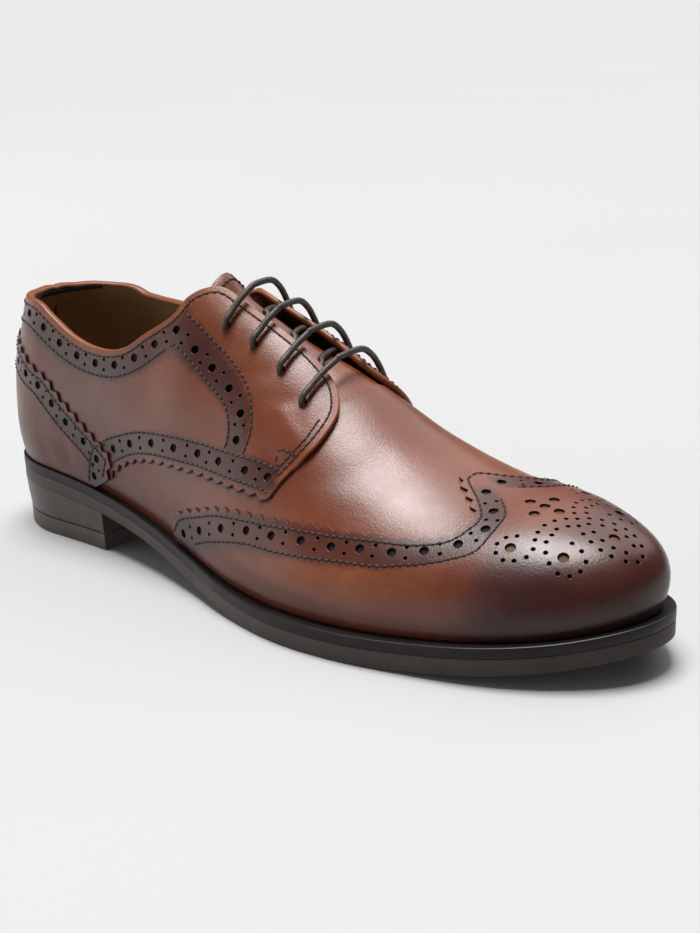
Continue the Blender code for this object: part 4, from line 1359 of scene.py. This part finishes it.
quarter_lines, counter_lines, wing_lines = [], [], []
for side, column in SIDES:
    quarter_lines.append(row_beside(collar_line(side, column)[:-1] + front_line(side), EDGE_ROW*side))
    quarter_lines.append(row_beside(front_line(side)[-4:], SECOND_ROW*side))
    quarter_lines += [line_of(rows, side) for rows in (FACING_STITCH, FACING_INNER, QUARTER_STITCH)]
    quarter_lines.append(row_beside(line_of(QUARTER_FOOT, side), PINKED_ROW*side))
    quarter_lines.append(beside(open_curve(TOP_BAND[side], 0.002)[:-3], BAND_HALF*side))
    quarter_lines += [line_of(rows, side) for rows in TACK_ROWS]
    counter_lines.append(row_beside(counter_edge(side), -PINKED_ROW*side))
    counter_lines.append(row_beside(COUNTER_BAND[side][:-1], BAND_HALF*side))
    counter_lines.append(line_of(COUNTER_CROSSING, side))
    wing_lines.append(row_beside(line_of(WING_EDGE, side), -PINKED_ROW*side))
    wing_lines.append(line_of(WING_STITCH, side))

rides(stitches("quarter_stitching", quarter_lines, quarter_height, thread, hole_shade_paint), "facing_lateral")
rides(stitches("counter_stitching", counter_lines, level(COUNTER_HEIGHT), thread, hole_shade_paint), "heel_counter")
rides(stitches("wing_stitching", wing_lines, level(WING_HEIGHT), thread, hole_shade_paint), "wing_cap")
for name, node in (("quarter", "facing_lateral"), ("counter", "heel_counter"), ("wing", "wing_cap")):
    rides(bpy.data.objects[name + "_stitching_holes"], node)


# Tongue

TONGUE_ROOT_RISE = 0.0036
TONGUE_TOP_RISE = 0.0022


def tongue_height(u, v):
    """Level under the facings, rising to meet the vamp at its root and a little at its free top."""
    root = smooth_step(0.150, 0.176, u)
    top = 1 - smooth_step(0.112, 0.124, u)
    return TONGUE_HEIGHT + TONGUE_ROOT_RISE*root + TONGUE_TOP_RISE*top


tongue_rows = ((0.372, 0.000), (0.374, 0.080), (0.384, 0.150), (0.410, 0.215), (0.460, 0.235), (0.520, 0.260),
               (0.565, 0.300), (0.605, 0.300), (0.620, 0.180), (0.624, 0.000))
tongue_loop = [(share*LENGTH, -down*CHART) for share, down in tongue_rows]
tongue_loop += [(share*LENGTH, down*CHART) for share, down in tongue_rows[::-1] if down]
TONGUE_ROW = 0.0030


# Darker towards the tongue's top as painted shade between the facings, paler at its root by the vamp
def tongue_tone_with_shade(u, v):
    return 0.52 + 0.25*smooth_step(0.140, 0.172, u)


rides(sheet("tongue_leather", closed_curve(tongue_loop, 0.0012), tongue_height, TONGUE_LEATHER, leather_upper,
            [], 0.0024, bulge=0.0006, turn="half", tone=tongue_tone_with_shade), "tongue", "tongue")
tongue_edge = [(share*LENGTH + TONGUE_ROW, -down*CHART) for share, down in tongue_rows[2:0:-1]]
tongue_edge += [(share*LENGTH + TONGUE_ROW, down*CHART) for share, down in tongue_rows[:3]]
rides(stitches("tongue_stitching", [tongue_edge], tongue_height, thread, hole_shade_paint), "tongue")
rides(bpy.data.objects["tongue_stitching_holes"], "tongue")


# Lace, on the course that the CAD source gives it

# The hidden run back up the medial side: share of length, distance from the crest
LACE_RETURN = ((0.420, 0.0187), (0.463, 0.0191), (0.509, 0.0215), (0.551, 0.0225))
LACE_ARCH = 0.0016
OVERLAY_LIFT = 0.0009
OVER = OVERLAY_LIFT + FACING_LEATHER + LACE_RADIUS + GAP + 0.0005     # height of a bar's ends
UNDER = -0.0011                                                      # height inside the shoe


def lace_course():
    """Four bars over the tongue joined by hidden diagonals; both ends stop inside the top pair of eyelets."""
    stops = []
    for number, (share, away) in enumerate(EYELETS):
        stops.append((share, -away, UNDER))
        for i in range(10):
            t = i/9
            stops.append((share, away*(2*t - 1), OVER + LACE_ARCH*math.sin(math.pi*t)**2))
        stops.append((share, away, UNDER))
        if number + 1 < len(EYELETS):
            next_share, next_away = EYELETS[number + 1]
            for i in range(1, 8):
                t = i/8
                stops.append((share + (next_share - share)*t, away + (-next_away - away)*t, UNDER))
    return_away = through(LACE_RETURN)
    low, high = EYELETS[0][0], EYELETS[-1][0]
    for i in range(1, 9):
        share = high + (low - high)*i/8
        stops.append((share, float(return_away(share)), UNDER))
    shares, aways, lifts = (np.array(column) for column in zip(*stops))
    base, way = crest_frames(shares, aways)
    return base + way*lifts[:, None]


lace_path = smooth_path(lace_course(), lambda a, b: 5)
lace_points, lace_normals, lace_faces = tube_mesh(lace_path, LACE_RADIUS, 14)
lace_cord = thread_material("waxed_lace", (0.028, 0.0190, 0.0145), (0.085, 0.0600, 0.0470), 0.50, 1100)
rides(finish_mesh("lace_cord", lace_points, lace_faces, lace_cord, lace_normals), "lace", "lace")


# Soles: smooth lofts round a ring of ribs

RING_SIDE = 130
RING_FAN = 70


def ring_ribs():
    ribs = []
    for kind in ("lateral", "toe", "medial", "heel"):
        count = RING_SIDE if kind in ("lateral", "medial") else RING_FAN
        ribs.append(np.stack(sector_ribs(kind, np.arange(count)/count), -1))
    return np.concatenate(ribs).T


CENTRE, EX, EY = ring_ribs()


def rim(inset):
    """Distance along each rib to the sole's outline drawn in by inset(x)."""
    def past(reach):
        ahead = CENTRE + EX*reach
        x, y = np.clip(ahead, 0, LENGTH), EY*reach
        drawn_in = inset(x)
        return (np.abs(y) >= plan_half(x, y > 0, drawn_in, drawn_in)) | (ahead <= 0) | (ahead >= LENGTH)
    return bisect(past, np.full(CENTRE.shape, LENGTH/2))


def foot_inset(x):
    """How far the inside of the upper's wall stands in from the sole's edge."""
    return ledge(x/LENGTH) + TUCK + WALL


def loft(name, section, ring, material, keep=None, sharp=32):
    """One section per rib, as (reach, height) columns; keep leaves out ribs whose edge is past a plane."""
    points = []
    for reach, height in section:
        reach = reach + 0*CENTRE
        x = CENTRE + EX*reach
        points.append(np.stack([x, EY*reach, height(x)], -1))
    grid = np.stack(points, 1)
    count, width = grid.shape[:2]
    faces = []
    for i in range(count):
        j = (i + 1) % count
        for k in range(width if ring else width - 1):
            m = (k + 1) % width
            faces.append((i*width + k, j*width + k, j*width + m, i*width + m))
    thing = finish_mesh(name, grid.reshape(-1, 3), faces, material)
    shape = bmesh.new()
    shape.from_mesh(thing.data)
    bmesh.ops.remove_doubles(shape, verts=shape.verts, dist=1e-6)
    bmesh.ops.dissolve_degenerate(shape, edges=shape.edges, dist=1e-7)
    if keep is not None:
        cut = bmesh.ops.bisect_plane(shape, geom=shape.verts[:] + shape.edges[:] + shape.faces[:],
                                     plane_co=(keep - ORIGIN_X, 0, 0), plane_no=(1, 0, 0), clear_outer=True)
        edges = [part for part in cut["geom_cut"] if isinstance(part, bmesh.types.BMEdge)]
        bmesh.ops.holes_fill(shape, edges=edges)
    bmesh.ops.recalc_face_normals(shape, faces=shape.faces)
    shape.to_mesh(thing.data)
    shape.free()
    for polygon in thing.data.polygons:
        polygon.use_smooth = True
    thing.data.set_sharp_from_angle(angle=math.radians(sharp))
    return thing


def outsole_top(x):
    return feather_z(x) - WELT_THICKNESS - 0.0001


def outsole_bottom(x):
    return feather_z(x) - SOLE_EDGE*edge_share(x/LENGTH)


def rounded(outer, top, bottom, radius):
    """Section points down a rounded edge, from the top face to the bottom one."""
    made = []
    for angle in np.radians((90, 60, 30, 0)):
        made.append((outer - radius*(1 - math.cos(angle)),
                     lambda x, angle=angle: top(x) - radius*(1 - math.sin(angle))))
    for angle in np.radians((0, 30, 60, 90)):
        made.append((outer - radius*(1 - math.cos(angle)),
                     lambda x, angle=angle: bottom(x) + radius*(1 - math.sin(angle))))
    return made


def above_feather(lift):
    return lambda x: feather_z(x) + lift


edge = rim(lambda x: 0*x)
foot = rim(foot_inset)
BEAD = 0.0005             # raised lip along the welt's outer edge
# Welt section from the upper outward and down: in from the edge, height over the feather line
WELT_PROFILE = (
    (0.0016, 0.0), (0.0013, 0.5*BEAD), (0.0010, BEAD), (0.0004, BEAD), (0.0001, 0.6*BEAD), (0.0, 0.1*BEAD),
    (0.0, 0.0002 - WELT_THICKNESS), (0.0001, 0.00005 - WELT_THICKNESS), (0.0007, -WELT_THICKNESS),
)
welt_section = [(foot - WELT_GRIP, feather_z)]
welt_section += [(np.maximum(edge - away, foot), above_feather(lift)) for away, lift in WELT_PROFILE]
welt_section.append((foot - WELT_GRIP, above_feather(-WELT_THICKNESS)))
rides(loft("welt_strip", welt_section, True, welt_rubber), "welt", "welt")
outsole_section = [(0*edge, outsole_top), (0.5*edge, outsole_top)] \
    + rounded(edge - 0.0001, outsole_top, outsole_bottom, 0.00025) \
    + [(0.5*edge, outsole_bottom), (0*edge, outsole_bottom)]
rides(loft("outsole_layer", outsole_section, False, sole_rubber), "outsole", "outsole")

SIDE_TAPER = 0.35         # share of the heel's taper that its sides have
TREAD_TAPER = 0.75        # share of the taper reached at the top piece
HEEL_LEAST = 0.003
taper = HEEL_TAPER*(SIDE_TAPER + (1 - SIDE_TAPER)*np.clip(-EX, 0, 1))
heel_bottom = TOP_PIECE + 0.0002


def heel_level(share):
    return lambda x: np.maximum(outsole_bottom(x), heel_bottom + HEEL_LEAST)*(1 - share) + heel_bottom*share


heel_section = [(0*edge, heel_level(0)), (0.5*edge, heel_level(0)), (edge - 0.0003, heel_level(0)),
                (edge - 0.0001, lambda x: heel_level(0)(x) - 0.0002), (edge - 0.35*taper, heel_level(0.5)),
                (edge - 0.70*taper, heel_level(0.96)), (edge - TREAD_TAPER*taper - 0.0005, heel_level(1)),
                (0.5*edge, heel_level(1)), (0*edge, heel_level(1))]
rides(loft("heel_block", heel_section, False, heel_rubber, BREAST), "heel", "heel")


def tread_top(x):
    return 0*x + TOP_PIECE


def ground(x):
    return 0*x


piece_section = [(0*edge, tread_top), (0.5*edge, tread_top)] \
    + rounded(edge - TREAD_TAPER*taper, tread_top, ground, 0.0006) \
    + [(0.5*edge, ground), (0*edge, ground)]
rides(loft("heel_tread", piece_section, False, tread_rubber, BREAST), "top_piece", "top_piece")

sock_section = [(0*foot, above_feather(INSOLE_PROUD + 0.0004)),
                (0.5*foot, above_feather(INSOLE_PROUD + 0.0004)),
                (foot - 0.0010, above_feather(INSOLE_PROUD + 0.0010)),
                (foot - 0.0002, above_feather(INSOLE_PROUD)), (foot - 0.0002, above_feather(-0.001))]
rides(loft("sock", sock_section, False, sock_leather), "insole", "insole")


# Camera at the photograph's viewpoint, floor and studio light

AZIMUTH = math.radians(41.1)
ELEVATION = math.radians(17.5)
ROLL = math.radians(-1.8)
CAMERA_DISTANCE = 0.560
CAMERA_TARGET = Vector((0.13595, 0.0, 0.0452))
FOCAL_PIXELS = 1545
PHOTO_HEIGHT = 933
SENSOR = 36.0             # millimetres
level_back = Vector((math.sin(AZIMUTH), -math.cos(AZIMUTH), 0))
back = level_back*math.cos(ELEVATION) + Vector((0, 0, math.sin(ELEVATION)))
right = Vector((math.cos(AZIMUTH), math.sin(AZIMUTH), 0))
up = back.cross(right)
rolled_right = right*math.cos(ROLL) + up*math.sin(ROLL)
rolled_up = up*math.cos(ROLL) - right*math.sin(ROLL)
camera = bpy.data.objects.new("camera", bpy.data.cameras.new("camera"))
camera.data.sensor_width = SENSOR
camera.data.sensor_fit = "AUTO"
camera.data.lens = FOCAL_PIXELS*SENSOR/PHOTO_HEIGHT
camera.data.clip_start = 0.01
camera.matrix_world = Matrix.Translation(CAMERA_TARGET + back*CAMERA_DISTANCE) @ Matrix(
    (rolled_right, rolled_up, back)).transposed().to_4x4()
bpy.context.scene.collection.objects.link(camera)
bpy.context.scene.camera = camera


def floor_material():
    nodes = Nodes("pale_floor")
    cloud = nodes.noise(3, 2.0, 0.5)
    colour = nodes.ramp(cloud, ((0.3, (0.480, 0.480, 0.480)), (0.7, (0.488, 0.488, 0.488))))
    return nodes.set(Base_Color=colour, Roughness=0.9, Specular_IOR_Level=0.1)


floor_mesh = bpy.data.meshes.new("floor")
REACH = 120.0
floor_mesh.from_pydata([(-REACH, -REACH, 0), (REACH, -REACH, 0), (REACH, REACH, 0), (-REACH, REACH, 0)], [],
                       [(0, 1, 2, 3)])
floor_mesh.materials.append(floor_material())
floor = bpy.data.objects.new("floor", floor_mesh)
floor.location.z = -0.0002
bpy.context.scene.collection.objects.link(floor)
floor.visible_diffuse = False


def softbox(name, place, aim, width, height, power):
    light = bpy.data.lights.new(name, "AREA")
    light.shape = "RECTANGLE"
    light.size = width
    light.size_y = height
    light.energy = power
    thing = bpy.data.objects.new(name, light)
    thing.location = place
    thing.visible_camera = False
    thing.rotation_mode = "QUATERNION"
    thing.rotation_quaternion = (Vector(aim) - Vector(place)).to_track_quat("-Z", "Y")
    bpy.context.scene.collection.objects.link(thing)


def overcast(name, way, spread, strength):
    """A very wide far light, so that the whole floor is lit evenly."""
    light = bpy.data.lights.new(name, "SUN")
    light.angle = math.radians(spread)
    light.energy = strength
    thing = bpy.data.objects.new(name, light)
    thing.rotation_mode = "QUATERNION"
    thing.rotation_quaternion = Vector(way).to_track_quat("Z", "Y")
    bpy.context.scene.collection.objects.link(thing)


overcast("overhead", (-0.13, 0.04, 1.0), 31, 4.30)
overcast("behind", (-0.1, 0.9, 1.0), 50, 0.9)
softbox("left_low", (-1.45, -0.75, 0.50), (0.05, 0.0, 0.04), 1.9, 1.0, 7.5)
softbox("low_card", (-0.16, -0.46, 0.002), (-0.16, -0.46, 1.0), 0.75, 0.62, 1.5)
softbox("near_fill", (-0.25, -1.70, 0.35), (0.02, 0.0, 0.03), 1.3, 0.8, 2.6)

world = bpy.data.worlds.new("studio")
world.use_nodes = True
world.node_tree.nodes["Background"].inputs["Color"].default_value = (0.94, 0.94, 0.94, 1)
world.node_tree.nodes["Background"].inputs["Strength"].default_value = 0.17
bpy.context.scene.world = world
bpy.context.scene.view_settings.view_transform = "Standard"

bpy.context.view_layer.update()
